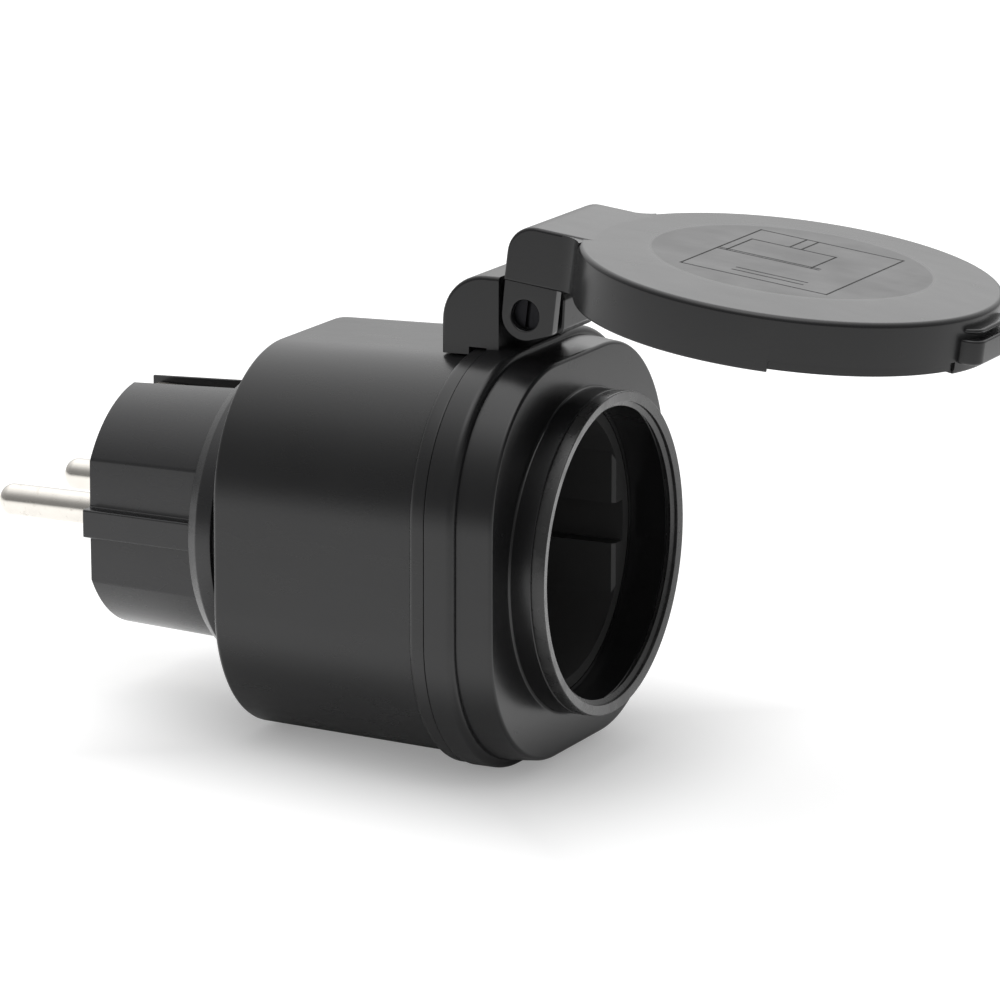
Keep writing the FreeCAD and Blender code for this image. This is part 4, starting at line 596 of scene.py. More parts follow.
@dataclass(frozen=True)
class Square:
    """A square section with round corners about the axis; a circle where the corner is the half width."""

    half: float
    corner: float

    def inset(self, amount: float) -> "Square":
        """The same section moved inwards all round."""
        return Square(self.half - amount, self.corner - amount)

    def reach(self, turn: float) -> float:
        """Measure from the axis to the section.

        Args:
            turn: The angle that it looks at.

        Returns:
            The distance.
        """
        small, large = sorted((abs(math.cos(turn)), abs(math.sin(turn))))
        flat = self.half - self.corner
        if self.half * small / large <= flat:
            return self.half / large
        along = flat * (large + small)
        return along + math.sqrt(max(0.0, along * along - 2 * flat * flat + self.corner * self.corner))


def disc(radius: float) -> Square:
    """A circular section."""
    return Square(radius, radius)


@dataclass(frozen=True)
class Tube:
    """A plain tube along the depth: its two radii and its two ends."""

    bore: float
    radius: float
    start: float
    end: float


class Draft:
    """Collects the faces of one piece in millimetres, then makes its object."""

    def __init__(self, place: Placing = in_socket) -> None:
        """Start an empty piece whose points are placed by that function."""
        self.place = place
        self.mesh = bmesh.new()

    def loop(self, points: Iterable[Point]) -> list[bmesh.types.BMVert]:
        """Add the points of a loop."""
        return [self.mesh.verts.new(self.place(*p)) for p in points]

    def sweep(self, loops: Sequence[Sequence[Point]], closed: bool = False) -> None:
        """Skin a row of loops with four-sided faces.

        Args:
            loops: Loops with the same number of points.
            closed: Join the last loop to the first, where both are filled otherwise.
        """
        rings = [self.loop(points) for points in loops]
        pairs = list(zip(rings, rings[1:])) + ([(rings[-1], rings[0])] if closed else [])
        for first, second in pairs:
            count = len(first)
            for i in range(count):
                j = (i + 1) % count
                self.mesh.faces.new((first[i], first[j], second[j], second[i]))
        if not closed:
            self.mesh.faces.new(rings[0])
            self.mesh.faces.new(rings[-1])

    def chain(self, stations: Sequence[tuple[float, Square]]) -> None:
        """Skin sections about the axis, each at its depth, back to the first one.

        Args:
            stations: Depth and section, one after another along the surface.
        """
        turns = [2 * math.pi * i / ROUND_COUNT for i in range(ROUND_COUNT)]
        loops = []
        for deep, section in stations:
            reaches = [section.reach(t) for t in turns]
            loops.append([(r * math.cos(t), r * math.sin(t), deep) for r, t in zip(reaches, turns)])
        self.sweep(loops, closed=True)

    def turned(self, profile: Sequence[Spot], count: int, centre: Spot = (0.0, 0.0),
               closed: bool = False) -> None:
        """Turn a profile about an axis.

        Args:
            profile: Radius and place along the axis.
            count: Number of points around.
            centre: Where the axis crosses the other two directions.
            closed: Whether the profile comes back to its start.
        """
        turns = [2 * math.pi * i / count for i in range(count)]
        x, z = centre
        self.sweep([[(x + radius * math.cos(t), z + radius * math.sin(t), along) for t in turns]
                    for radius, along in profile], closed)

    def tube(self, size: Tube, centre: Spot, count: int) -> None:
        """Add a tube with that many points around."""
        self.turned([(size.bore, size.start), (size.radius, size.start), (size.radius, size.end),
                     (size.bore, size.end)], count, centre, closed=True)

    def slab(self, outline: Sequence[Spot], low: float, high: float, way: Way) -> None:
        """Extrude an outline between two places."""
        self.sweep([[(*spot[:way], place, *spot[way:]) for spot in outline] for place in (low, high)])

    def cushion(self, outline: Sequence[Spot], half: float, radius: float, soft: tuple[int, int]) -> None:
        """Add a slab across whose two side edges are rounded along part of its outline.

        Args:
            outline: Up and deep, or out and rise, of its points.
            half: Half its width.
            radius: How round those edges are.
            soft: First and last point of the rounded part.
        """
        first, last = soft
        area = sum(a[0] * b[1] - b[0] * a[1] for a, b in zip(outline, [*outline[1:], outline[0]]))
        turn = math.copysign(1.0, area)
        normals = []
        for i in range(len(outline)):
            total = Vector((0.0, 0.0))
            for j, k in ((i - 1, i), (i, i + 1)):
                if first <= j and k <= last:
                    side = Vector(outline[k]) - Vector(outline[j])
                    total += Vector((side.y, -side.x)).normalized() * turn
            normals.append(total.normalized() if total.length else total)
        sides = [(half - drop, [Vector(q) - n * inset for q, n in zip(outline, normals)])
                 for inset, drop in quarter(radius, 0.0)]
        rows = [(-across, points) for across, points in sides] + sides[::-1]
        self.sweep([[(across, q.x, q.y) for q in points] for across, points in rows])

    def object(self, name: str) -> bpy.types.Object:
        """Make a bare object of the faces, with its normals outwards.

        Args:
            name: The piece's name.

        Returns:
            The object.
        """
        bmesh.ops.recalc_face_normals(self.mesh, faces=self.mesh.faces)
        data = bpy.data.meshes.new(name)
        self.mesh.to_mesh(data)
        self.mesh.free()
        return linked(name, data)


def linked(name: str, data: bpy.types.ID) -> bpy.types.Object:
    """Put an object into the scene.

    Args:
        name: Its name.
        data: Its mesh, lamp or camera.

    Returns:
        The object.
    """
    made = bpy.data.objects.new(name, data)
    bpy.context.scene.collection.objects.link(made)
    return made


def carve(target: bpy.types.Object, tool: Draft) -> None:
    """Cut a draft out of an object.

    Args:
        target: The object that changes.
        tool: The shape to cut.
    """
    cutter = tool.object("cutter")
    modifier = target.modifiers.new("carve", "BOOLEAN")
    modifier.operation = "DIFFERENCE"
    modifier.object = cutter
    modifier.solver = "EXACT"
    view = bpy.context.evaluated_depsgraph_get()
    view.update()
    carved = bpy.data.meshes.new_from_object(target.evaluated_get(view))
    target.modifiers.clear()
    old, target.data = target.data, carved
    bpy.data.meshes.remove(old)
    bpy.data.objects.remove(cutter)


def dress(piece: bpy.types.Object, finish: Finish, body: Body, replaces: str = "",
          bevel: float = 0.0) -> None:
    """Give a piece its edges, shading, finish and body.

    Args:
        piece: The object.
        finish: Its finish.
        body: The body that carries it.
        replaces: The CAD node that it stands for, if any.
        bevel: Width of the rounding on its sharp edges, in millimetres.
    """
    piece.data.materials.clear()
    piece.data.materials.append(finish.build())
    for polygon in piece.data.polygons:
        polygon.use_smooth = True
    if bevel:
        rounding = piece.modifiers.new("edges", "BEVEL")
        rounding.width = bevel * MM
        rounding.segments = 3
        rounding.limit_method = "ANGLE"
        rounding.angle_limit = SHARP_EDGE
        rounding.use_clamp_overlap = True
        rounding.miter_outer = "MITER_ARC"
    else:
        piece.data.set_sharp_from_angle(angle=SHARP_EDGE)
    shading = piece.modifiers.new("shading", "WEIGHTED_NORMAL")
    shading.keep_sharp = True
    shading.weight = 80
    if replaces:
        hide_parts(replaces)
    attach(piece, body.value)
    LOG.info("%s: %d faces on %s", piece.name, len(piece.data.polygons), body.value)


# sub-assemblies


@dataclass
class PlugHead:
    """The plug body with its flats, ribs and recesses, its flange, and the two pins."""

    radius: float = 18.5
    flat: float = 16.3
    flat_half: float = 2.5
    rib_half: float = 2.1
    rib_reach: float = 18.4
    recess_half: float = 2.8
    recess_floor: float = 16.6
    recess_lip: float = 0.15
    corner: float = 0.3
    length: float = 19.0
    widening: float = 0.8
    flange_start: float = 6.0
    flange_small: float = 21.0
    flange_large: float = 22.2
    cone_end: float = 20.9
    flange_end: float = 23.4
    seat: float = 21.4
    seat_end: float = 25.2
    spigot: float = 18.0
    spigot_bore: float = 14.2
    wall_end: float = 29.2
    dimple: float = 3.0
    dimple_depth: float = 0.6
    pin_radius: float = 2.4
    pin_half_pitch: float = 9.5
    pin_length: float = 19.0
    pin_tip: float = 1.9
    pin_point: float = 0.12
    pin_tail: tuple[Spot, ...] = ((1.8, 0.0), (1.8, 4.0), (3.4, 4.0), (3.4, 5.5), (1.0, 5.5), (1.0, 33.1))

    def outline(self, grow: float) -> list[Spot]:
        """Find the plug body's section, from the right rib round by the top.

        Args:
            grow: How much wider it is there than at its end face.

        Returns:
            Its points.
        """
        radius, flat, reach = self.radius + grow, self.flat + grow, self.rib_reach + grow
        rib, wide, floor, ease = self.rib_half, self.recess_half, self.recess_floor, self.corner
        edge = math.degrees(math.acos(flat / radius))
        lip = math.degrees(math.acos((wide + self.recess_lip) / radius))
        side = eased([(flat, -self.flat_half, 0), (flat, -rib, ease), (reach, -rib, ease),
                      (reach, rib, ease), (flat, rib, ease), (flat, self.flat_half, 0)], 4)
        crown = arc((0, 0), radius, edge + 0.6, lip, 26)
        brow = radius * math.sin(math.radians(lip)) - 0.12
        pocket = eased([(wide, brow, 0), (wide, floor, ease), (-wide, floor, ease), (-wide, brow, 0)], 4)
        top = side + crown + pocket + [(-x, z) for x, z in reversed(crown)]
        return top + [(-x, -z) for x, z in top]

    def shell(self) -> None:
        """Make the plug body and its flange."""
        length, cone, cone_end = self.length, self.flange_small, self.cone_end
        large, end = self.flange_large, self.flange_end
        draft = Draft()
        draft.sweep([[(x, z, deep) for x, z in self.outline(self.widening * deep / length)]
                     for deep in (0.0, 6.0, 12.0, length + 0.4)])
        draft.turned([(self.flange_start, length), (cone - 0.3, length), (cone - 0.08, length + 0.04),
                      (cone + 0.04, length + 0.2), (large - 0.16, cone_end - 0.2),
                      (large - 0.04, cone_end - 0.02), (large, cone_end + 0.2), (large, end - 0.25),
                      (large - 0.08, end - 0.08), (large - 0.25, end), (self.seat, end),
                      (self.seat, self.seat_end), (self.spigot, self.seat_end), (self.spigot, self.wall_end),
                      (self.spigot_bore, self.wall_end), (self.spigot_bore, length)], 160)
        shell = draft.object("plug_shell")
        dimples = Draft()
        for side in Side:
            dimples.turned([(self.dimple, -1.0), (self.dimple, self.dimple_depth)], 48,
                           (side * self.pin_half_pitch, 0.0))
        carve(shell, dimples)
        dress(shell, PLUG, Body.SOCKET, "plug_body", bevel=0.2)

    def pin(self, side: Side, node: str) -> None:
        """Make one turned pin with its rounded tip, collar and tail.

        Args:
            side: Which of the two it is.
            node: The CAD node that it stands for.
        """
        tip = [(self.pin_radius - self.pin_tip + x, -self.pin_length + self.pin_tip - z)
               for x, z in arc((0, 0), self.pin_tip, 90, 0, 10)]
        draft = Draft()
        draft.turned([(self.pin_point, -self.pin_length), *tip, (self.pin_radius, -0.05), *self.pin_tail],
                     64, (side * self.pin_half_pitch, 0.0))
        dress(draft.object(node + "_turned"), NICKEL, Body.SOCKET, node)

    def build(self) -> None:
        """Make the plug's pieces."""
        self.shell()
        self.pin(Side.LEFT, "line_pin")
        self.pin(Side.RIGHT, "neutral_pin")


@dataclass
class RearHousing:
    """The drawn-out rear shell: rear wall with four screw wells, drafted barrel and seam bead."""

    rear: Square = Square(28.4, 20.6)
    front: Square = Square(29.4, 21.8)
    bead: Square = Square(30.4, 22.3)
    rear_face: float = 27.2
    seam: float = 62.2
    bead_length: float = 2.6
    bead_round: float = 0.9
    wall: float = 2.2
    rear_wall: float = 2.0
    edge_round: float = 0.8
    hole: float = 18.2
    barrel: tuple[float, ...] = (30.0, 36.0, 42.0, 48.0, 54.0, 58.0)
    well: float = 2.8
    well_ease: float = 0.35
    well_end: float = 31.0
    pillar: Tube = Tube(1.65, 3.8, 28.9, 49.5)
    counterbore_end: float = 40.0
    post: Tube = Tube(1.05, 2.1, 29.0, 30.8)
    post_place: float = 23.0

    def at(self, deep: float) -> Square:
        """Find the barrel's section.

        Args:
            deep: The depth asked for.

        Returns:
            The section there.
        """
        part = (deep - self.rear_face) / (self.seam - self.rear_face)
        return Square(self.rear.half + (self.front.half - self.rear.half) * part,
                      self.rear.corner + (self.front.corner - self.rear.corner) * part)

    def stations(self) -> list[tuple[float, Square]]:
        """Follow the shell's surface from the rear wall's hole, round the outside and back inside.

        Returns:
            Depths and sections.
        """
        face, seam, bead_start = self.rear_face, self.seam, self.seam - self.bead_length
        row = [(face + 0.2, disc(self.hole)), (face, disc(self.hole + 0.2)),
               (face, self.at(face).inset(self.edge_round + 0.6))]
        row += [(deep, self.at(deep).inset(inset)) for inset, deep in quarter(self.edge_round, face)]
        row += [(deep, self.at(deep)) for deep in (*self.barrel, bead_start - 0.25)]
        foot = self.at(bead_start)
        row += [(bead_start - 0.02, foot.inset(-0.02)), (bead_start, foot.inset(-0.06))]
        row += [(deep, self.bead.inset(inset)) for inset, deep in quarter(self.bead_round, bead_start)]
        inner = face + self.rear_wall
        return row + [(seam - 0.3, self.bead), (seam - 0.12, self.bead.inset(0.06)),
                      (seam, self.bead.inset(0.3)), (seam, self.front.inset(self.wall)),
                      (inner, self.at(inner).inset(self.wall)), (inner, disc(self.hole))]

    def build(self) -> None:
        """Make the shell, cut its wells and add the pillars and board posts inside."""
        draft = Draft()
        draft.chain(self.stations())
        shell = draft.object("housing_shell")
        wells, pillars = Draft(), Draft()
        face, well, mouth, pillar = self.rear_face, self.well, self.well + self.well_ease, self.pillar
        for spot in SCREW_SPOTS:
            wells.turned([(mouth, face - 1.2), (mouth, face), (well, face + self.well_ease),
                          (well, self.well_end)], 48, spot)
            pillars.turned([(well, pillar.start), (pillar.radius, pillar.start), (pillar.radius, pillar.end),
                            (pillar.bore, pillar.end), (pillar.bore, self.counterbore_end),
                            (well, self.counterbore_end)], 48, spot, closed=True)
        carve(shell, wells)
        for side in Side:
            pillars.tube(self.post, (0.0, side * self.post_place), 32)
        dress(pillars.object("housing_pillars"), HOUSING, Body.SOCKET)
        dress(shell, HOUSING, Body.SOCKET, "rear_housing")


@dataclass
class FrontCover:
    """The front cover: seam ring, step, front band, collar and the block with the hinge knuckle."""

    ring: Square = Square(30.6, 22.5)
    band: Square = Square(29.4, 21.6)
    face_middle: Square = Square(27.2, 26.6)
    inside: Square = Square(25.1, 17.5)
    rebate: Square = Square(27.0, 19.4)
    seam: float = 62.2
    rebate_end: float = 59.2
    roof: float = 66.5
    step: float = 66.8
    band_middle: float = 69.0
    cup_stop: float = 69.5
    face: float = 72.0
    seal_start: float = 75.45
    collar: float = 23.5
    bore: float = 21.95
    cup_seat: float = 21.6
    shoulder: float = 1.15
    face_round: float = 0.6
    foot_round: float = 0.4
    band_draft: float = 0.45
    block_half: float = 10.7
    block_top: float = 41.0
    block_rear: float = 55.0
    block_front: float = 64.05
    block_round: float = 6.8
    block_ease: float = 0.6
    block_foot: tuple[Spot, ...] = (
        (33.0, 55.0), (29.38, 55.0), (29.5, 59.35), (30.62, 59.35), (30.62, 62.15), (27.6, 62.15))
    pillar: Tube = Tube(1.5, 3.2, 52.0, 67.0)
    knuckle_half: float = 5.3
    knuckle_corners: tuple[Point, ...] = (
        (28.4, 63.4, 0), (39.2, 63.4, 0), (39.2, 70.8, 0.8), (37.5, 71.8, 0.8), (33.25, 71.6, 0.4),
        (32.4, 71.0, 0.6), (31.0, 68.0, 0.6), (30.0, 66.0, 0), (28.4, 66.0, 0))

    def stations(self) -> list[tuple[float, Square]]:
        """Follow the cover's surface from the seam, round the outside, into the bore and back.

        Returns:
            Depths and sections.
        """
        seam, step, face, start, stop = self.seam, self.step, self.face, self.seal_start, self.cup_stop
        ring, band = self.ring, self.band
        row = [(seam, ring.inset(0.3)), (seam + 0.12, ring.inset(0.06)), (seam + 0.3, ring)]
        row += [(deep, ring.inset(inset)) for inset, deep in reversed(quarter(self.shoulder, step, -1, 8))]
        row += [(step, band.inset(-0.02)), (step + 0.08, band),
                (self.band_middle, band.inset(self.band_draft * 0.45))]
        row += [(deep, band.inset(inset + self.band_draft))
                for inset, deep in reversed(quarter(self.face_round, face, -1, 5))]
        row += [(face, self.face_middle), (face, disc(self.collar + self.foot_round + 0.3))]
        row += [(deep, disc(self.collar + inset)) for inset, deep in quarter(self.foot_round, face, steps=10)]
        return row + [(start - 0.15, disc(self.collar)), (start, disc(self.collar - 0.15)),
                      (start, disc(self.bore + 0.1)), (start - 0.1, disc(self.bore)), (stop, disc(self.bore)),
                      (stop, disc(self.cup_seat)), (self.roof, disc(self.cup_seat)), (self.roof, self.inside),
                      (self.rebate_end, self.inside), (self.rebate_end, self.rebate), (seam, self.rebate)]

    def block(self) -> None:
        """Make the block behind the lid's ears, with its round rear top edge."""
        top, rear, turn = self.block_top, self.block_rear, self.block_round
        back = arc((top - turn, rear + turn), turn, 0, -90, 14)
        low, front = self.block_foot[-1][0], self.block_front
        outline = [(low, front), (top, front), *back, *self.block_foot]
        draft = Draft()
        draft.cushion(outline, self.block_half, self.block_ease, (1, len(back) + 3))
        dress(draft.object("hinge_block"), COVER, Body.SOCKET)

    def knuckle(self) -> None:
        """Make the tongue between the lid's ears that the hinge pin goes through."""
        draft = Draft()
        draft.slab(eased(self.knuckle_corners, 5), -self.knuckle_half, self.knuckle_half, Way.ACROSS)
        dress(draft.object("hinge_knuckle"), COVER, Body.SOCKET, bevel=0.35)

    def pillars(self) -> None:
        """Make the four screw pillars inside the cover."""
        draft = Draft()
        for spot in SCREW_SPOTS:
            draft.tube(self.pillar, spot, 40)
        dress(draft.object("cover_pillars"), COVER, Body.SOCKET)

    def build(self) -> None:
        """Make the cover's pieces."""
        draft = Draft()
        draft.chain(self.stations())
        dress(draft.object("cover_shell"), COVER, Body.SOCKET, "front_cover")
        self.block()
        self.knuckle()
        self.pillars()


@dataclass
class Mouth:
    """The rubber ring that ends the collar and the contact cup behind it."""

    collar: float = 23.5
    bore: float = 21.95
    seal_start: float = 75.45
    mouth: float = 77.5
    funnel: float = 0.2
    ridge: float = 0.68
    cup_radius: float = 21.4
    cup_rear: float = 49.5
    cup_face: float = 52.0
    cup_front: float = 69.5
    recess: float = 19.7
    flat: float = 16.7
    lead_in: float = 1.5
    guide_half: float = 3.05
    entry: float = 2.75
    entry_half_pitch: float = 9.5
    slot_half: float = 2.4
    slot_low: float = 17.6
    slot_high: float = 18.8
    ear: Tube = Tube(1.65, 3.4, 49.5, 52.0)

    def seal(self) -> None:
        """Make the ring with its rounded lips and the ridge that grips a plug."""
        bore, collar, start, mouth = self.bore, self.collar, self.seal_start, self.mouth
        middle, lip, ridge = start + 1.0, mouth - self.funnel, bore - self.ridge
        draft = Draft()
        draft.turned([
            (bore + 0.15, start), (collar - 0.22, start), (collar - 0.06, start + 0.1), (collar, start + 0.3),
            (collar, mouth - 0.22), (collar - 0.06, mouth - 0.06), (collar - 0.16, mouth), (bore + 0.08, lip),
            (bore + 0.02, lip - 0.04), (bore, lip - 0.12), (bore, middle + 0.35),
            (ridge + 0.08, middle + 0.05), (ridge, middle - 0.02), (ridge + 0.08, middle - 0.12),
            (bore, middle - 0.5), (bore, start + 0.1)], 192, closed=True)
        dress(draft.object("mouth_ring"), RUBBER, Body.SOCKET, "mouth_seal")

    def recess_outline(self, ease: float) -> list[Spot]:
        """Find the recess's section with its guide flats and rib grooves.

        Args:
            ease: How far the flats stand back there.

        Returns:
            Its points.
        """
        flat = self.flat + ease
        groove = math.degrees(math.asin(self.guide_half / self.recess))
        edge = math.degrees(math.acos(flat / self.recess))
        half = arc((0, 0), self.recess, -groove, groove, 6) + [(flat, self.guide_half)]
        half += arc((0, 0), self.recess, edge, 180 - edge, 60) + [(-flat, self.guide_half)]
        return half + [(-x, -z) for x, z in half]

    def cup(self) -> None:
        """Make the contact cup, cut from a solid, with its recess, entries and clip slots."""
        face, front, entry = self.cup_face, self.cup_front, self.entry
        draft, hollow, holes, ears = Draft(), Draft(), Draft(), Draft()
        draft.turned([(self.cup_radius, self.cup_rear), (self.cup_radius, front)], 160)
        cup = draft.object("recess_cup")
        hollow.sweep([[(x, z, deep) for x, z in self.recess_outline(ease)]
                      for deep, ease in ((face, 0.0), (front - 0.5, 0.0), (front + 1.0, self.lead_in))])
        carve(cup, hollow)
        wide, low, high = self.slot_half, self.slot_low, self.slot_high
        for side in Side:
            holes.turned([(entry, 49.0), (entry, face - 0.7), (entry + 1.0, face + 0.3)], 48,
                         (side * self.entry_half_pitch, 0.0))
            holes.slab([(-wide, side * low), (wide, side * low), (wide, side * high), (-wide, side * high)],
                       49.0, face + 0.5, Way.DEEP)
        carve(cup, holes)
        for spot in SCREW_SPOTS:
            ears.tube(self.ear, spot, 40)
        dress(ears.object("cup_ears"), CUP, Body.SOCKET)
        dress(cup, CUP, Body.SOCKET, "contact_cup", bevel=0.22)

    def build(self) -> None:
        """Make the ring and the cup."""
        self.seal()
        self.cup()


@dataclass
class SplashLid:
    """The lid: crowned disc with its skirt, hollow arm, two ears, thumb tab and line drawing."""

    radius: float = 29.9
    centre: float = LID_CENTRE
    rim: float = 4.8
    edge: float = 12.9
    crown: float = 13.45
    plate: float = 10.8
    wall: float = 2.0
    edge_round: float = 0.75
    edge_drop: float = 0.1
    crown_radius: float = 20.3
    pole: float = 0.3
    slope_rings: tuple[float, ...] = (28.0, 26.0, 24.0, 22.0)
    arm_half: float = 10.7
    arm_rear: float = -3.8
    arm_front: float = 12.0
    arm_under: float = 4.5
    arm_round: float = 4.2
    arm_ease: float = 0.5
    hollow_half: float = 8.6
    hollow_rear: float = -1.7
    hollow_front: float = 9.0
    fillet_round: float = 4.0
    ear_inner: float = 8.5
    ear_outer: float = 10.35
    ear_round: float = 3.75
    ear_front: tuple[Point, ...] = ((1.5, -3.4, 0), (4.5, -2.15, 0.9), (4.45, 5.1, 0))
    eye: float = 2.2
    tab_half: float = 7.0
    tab_reach: float = 1.95
    tab_length: float = 4.6
    tab_round: float = 2.2
    step_height: float = 1.7
    step_depth: float = 0.35
    step_turn: Pair = (105.0, 161.0)
    line: float = 0.28
    line_rise: float = 0.012
    strokes: tuple[tuple[Spot, Spot], ...] = (
        ((-13.7, 24.2), (13.9, 24.2)), ((13.9, 24.2), (13.9, 46.3)), ((13.9, 46.3), (-13.7, 46.3)),
        ((-13.7, 46.3), (-13.7, 24.2)), ((-1.3, 25.6), (7.6, 25.6)), ((7.6, 25.6), (7.6, 38.6)),
        ((7.6, 38.6), (-1.3, 38.6)), ((-1.5, 24.2), (-1.5, 39.8)), ((-0.8, 24.2), (-0.8, 39.8)),
        ((7.6, 31.4), (13.9, 31.4)), ((7.6, 33.2), (13.9, 33.2)), ((-9.6, 31.0), (-9.6, 41.6)),
        ((-11.2, 31.0), (-11.2, 41.6)))

    def profile(self) -> list[Spot]:
        """Follow the disc's section from the plate's underside round the skirt to the crown.

        Returns:
            Radii and heights.
        """
        inner, outer, rim, crown = self.radius - self.wall, self.radius, self.rim, self.crown
        foot, low = outer - self.edge_round, self.edge - self.edge_drop
        shoulder = low - self.edge_round
        slope = (crown - low) / (foot - self.crown_radius)
        row = [(self.pole, self.plate), (inner - 0.8, self.plate), (inner - 0.25, self.plate - 0.25),
               (inner, self.plate - 0.8), (inner, rim + 0.3), (inner + 0.1, rim + 0.08), (inner + 0.3, rim),
               (outer - 0.3, rim), (outer - 0.08, rim + 0.08), (outer, rim + 0.3), (outer, shoulder)]
        row += arc((foot, shoulder), self.edge_round, 10, 90, 8)
        row += [(radius, low + slope * (foot - radius))
                for radius in (*self.slope_rings, self.crown_radius + 0.5)]
        return row + [(self.crown_radius, crown - 0.01), (self.crown_radius - 0.3, crown),
                      (14.0, crown), (6.0, crown), (self.pole, crown)]

    def disc(self) -> None:
        """Turn the disc and cut the skirt's shallow step near the tab."""
        draft = Draft(in_lid)
        draft.turned(self.profile(), 256, (0.0, self.centre))
        shell = draft.object("lid_shell")
        start, end = self.step_turn
        spot = (0.0, self.centre)
        for inner, top in ((self.radius - self.step_depth, self.rim + self.step_height),
                           (self.radius - self.wall - 0.5, self.rim + 0.45)):
            step = Draft(in_lid)
            step.slab(arc(spot, self.radius + 1.0, start, end, 40) + arc(spot, inner, end, start, 40),
                      self.rim - 1.0, top, Way.DEEP)
            carve(shell, step)
        dress(shell, LID, Body.LID, "lid")

    def arm(self) -> None:
        """Make the hollow arm with its round rear top edge."""
        rear, under, turn, front = self.arm_rear, self.arm_under, self.arm_round, self.arm_front
        back = arc((rear + turn, self.edge - turn), turn, 180, 90, 12)
        draft, hollow = Draft(in_lid), Draft(in_lid)
        draft.cushion([(front, under), (rear, under), *back, (front, self.edge)], self.arm_half,
                      self.arm_ease, (0, len(back) + 2))
        block = draft.object("lid_arm")
        hollow.slab([(self.hollow_rear, under - 1), (self.hollow_front, under - 1),
                     (self.hollow_front, self.plate), (self.hollow_rear, self.plate)],
                    -self.hollow_half, self.hollow_half, Way.ACROSS)
        carve(block, hollow)
        dress(block, LID, Body.LID)

    def fillet(self, side: Side, name: str) -> None:
        """Make the hollow round between the arm's side and the disc.

        Args:
            side: Which of the two it is.
            name: The piece's name.
        """
        away, far = self.radius + self.fillet_round, self.arm_half + self.fillet_round
        near = self.centre - math.sqrt(away * away - far * far)
        turn = math.degrees(math.atan2(self.centre - near, far))
        root = self.arm_half - 1.2
        hollow = arc((far, near), self.fillet_round, 180, 180 - turn, 14)
        outline = [(root, near), *hollow, (root, hollow[-1][1] + 0.6)]
        draft = Draft(in_lid)
        draft.slab([(side * x, u) for x, u in outline], self.rim + 0.05, self.edge - self.edge_drop - 0.06,
                   Way.DEEP)
        dress(draft.object(name), LID, Body.LID)

    def ear(self, low: float, high: float, name: str) -> None:
        """Make an ear round the hinge pin.

        Args:
            low: Its left face.
            high: Its right face.
            name: The piece's name.
        """
        below = arc((0, 0), self.ear_round, 188, 286, 14)
        outline = [(self.arm_rear, self.arm_under + 0.6), *below, *eased(self.ear_front)[1:]]
        draft, eye = Draft(in_lid), Draft(in_lid)
        draft.slab(outline, low, high, Way.ACROSS)
        piece = draft.object(name)
        eye.slab(arc((0, 0), self.eye, 0, 352.5, 47), low - 1, high + 1, Way.ACROSS)
        carve(piece, eye)
        dress(piece, LID, Body.LID, bevel=0.22)

    def tab(self) -> None:
        """Make the thumb tab with the second thin edge above it."""
        draft = Draft(in_lid)
        end = self.centre + self.radius + self.tab_reach
        for inset, low, high in ((0.0, 1.4, 4.9), (0.6, 5.6, 6.3)):
            half, reach = self.tab_half - inset, end - inset
            near = reach - self.tab_length
            draft.slab(eased([(-half, near, 0), (half, near, 0), (half, reach, self.tab_round),
                              (-half, reach, self.tab_round)]), self.rim + low, self.rim + high, Way.DEEP)
        dress(draft.object("thumb_tab"), LID, Body.LID, bevel=0.4)

    def drawing(self) -> None:
        """Make a plain drawing in thin raised strips, darkened as painted shade in place of engraved grooves.
        """
        draft = Draft(in_lid)
        grow = self.line / 2
        for (x0, u0), (x1, u1) in self.strokes:
            low = (min(x0, x1) - grow, min(u0, u1) - grow)
            high = (max(x0, x1) + grow, max(u0, u1) + grow)
            draft.slab([low, (high[0], low[1]), high, (low[0], high[1])],
                       self.crown - 0.05, self.crown + self.line_rise, Way.DEEP)
        dress(draft.object("lid_drawing"), GROOVE_SHADE, Body.LID)

    def build(self) -> None:
        """Make the lid's pieces."""
        self.disc()
        self.arm()
        self.fillet(Side.LEFT, "lid_fillet_left")
        self.fillet(Side.RIGHT, "lid_fillet_right")
        self.ear(-self.ear_outer, -self.ear_inner, "lid_ear_left")
        self.ear(self.ear_inner, self.ear_outer, "lid_ear_right")
        self.tab()
        self.drawing()


@dataclass
class Insides:
    """The CAD nodes that keep their shape and get a finish."""

    finishes: dict[str, Finish] = field(default_factory=lambda: dict(NODE_FINISHES))

    def build(self) -> None:
        """Dress each node that is kept."""
        for name, finish in self.finishes.items():
            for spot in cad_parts[name].material_slots:
                spot.material = finish.build()
            LOG.info("%s: kept, finished in %s", name, finish.name)


# studio


@dataclass(frozen=True)
class Glow:
    """A round patch of white that gloss sees: its direction, how fast it fades and how strong it is."""

    aim: Point
    tightness: float
    strength: float


@dataclass(frozen=True)
class Lamp:
    """A rectangle of light: its middle, its width and height, its power in watts and the depth it faces."""

    name: str
    place: Point
    size: Pair
    power: float
    faced: float = 60.0

    def build(self) -> None:
        """Hang the lamp where gloss doesn't see it."""
        data = bpy.data.lights.new(self.name, "AREA")
        data.shape = "RECTANGLE"
        data.size, data.size_y = self.size[0] * MM, self.size[1] * MM
        data.energy = self.power
        lamp = linked(self.name, data)
        lamp.location = in_socket(*self.place)
        aim = in_socket(0.0, 0.0, self.faced) - lamp.location
        lamp.rotation_euler = aim.to_track_quat("-Z", "Y").to_euler()
        lamp.visible_glossy = False


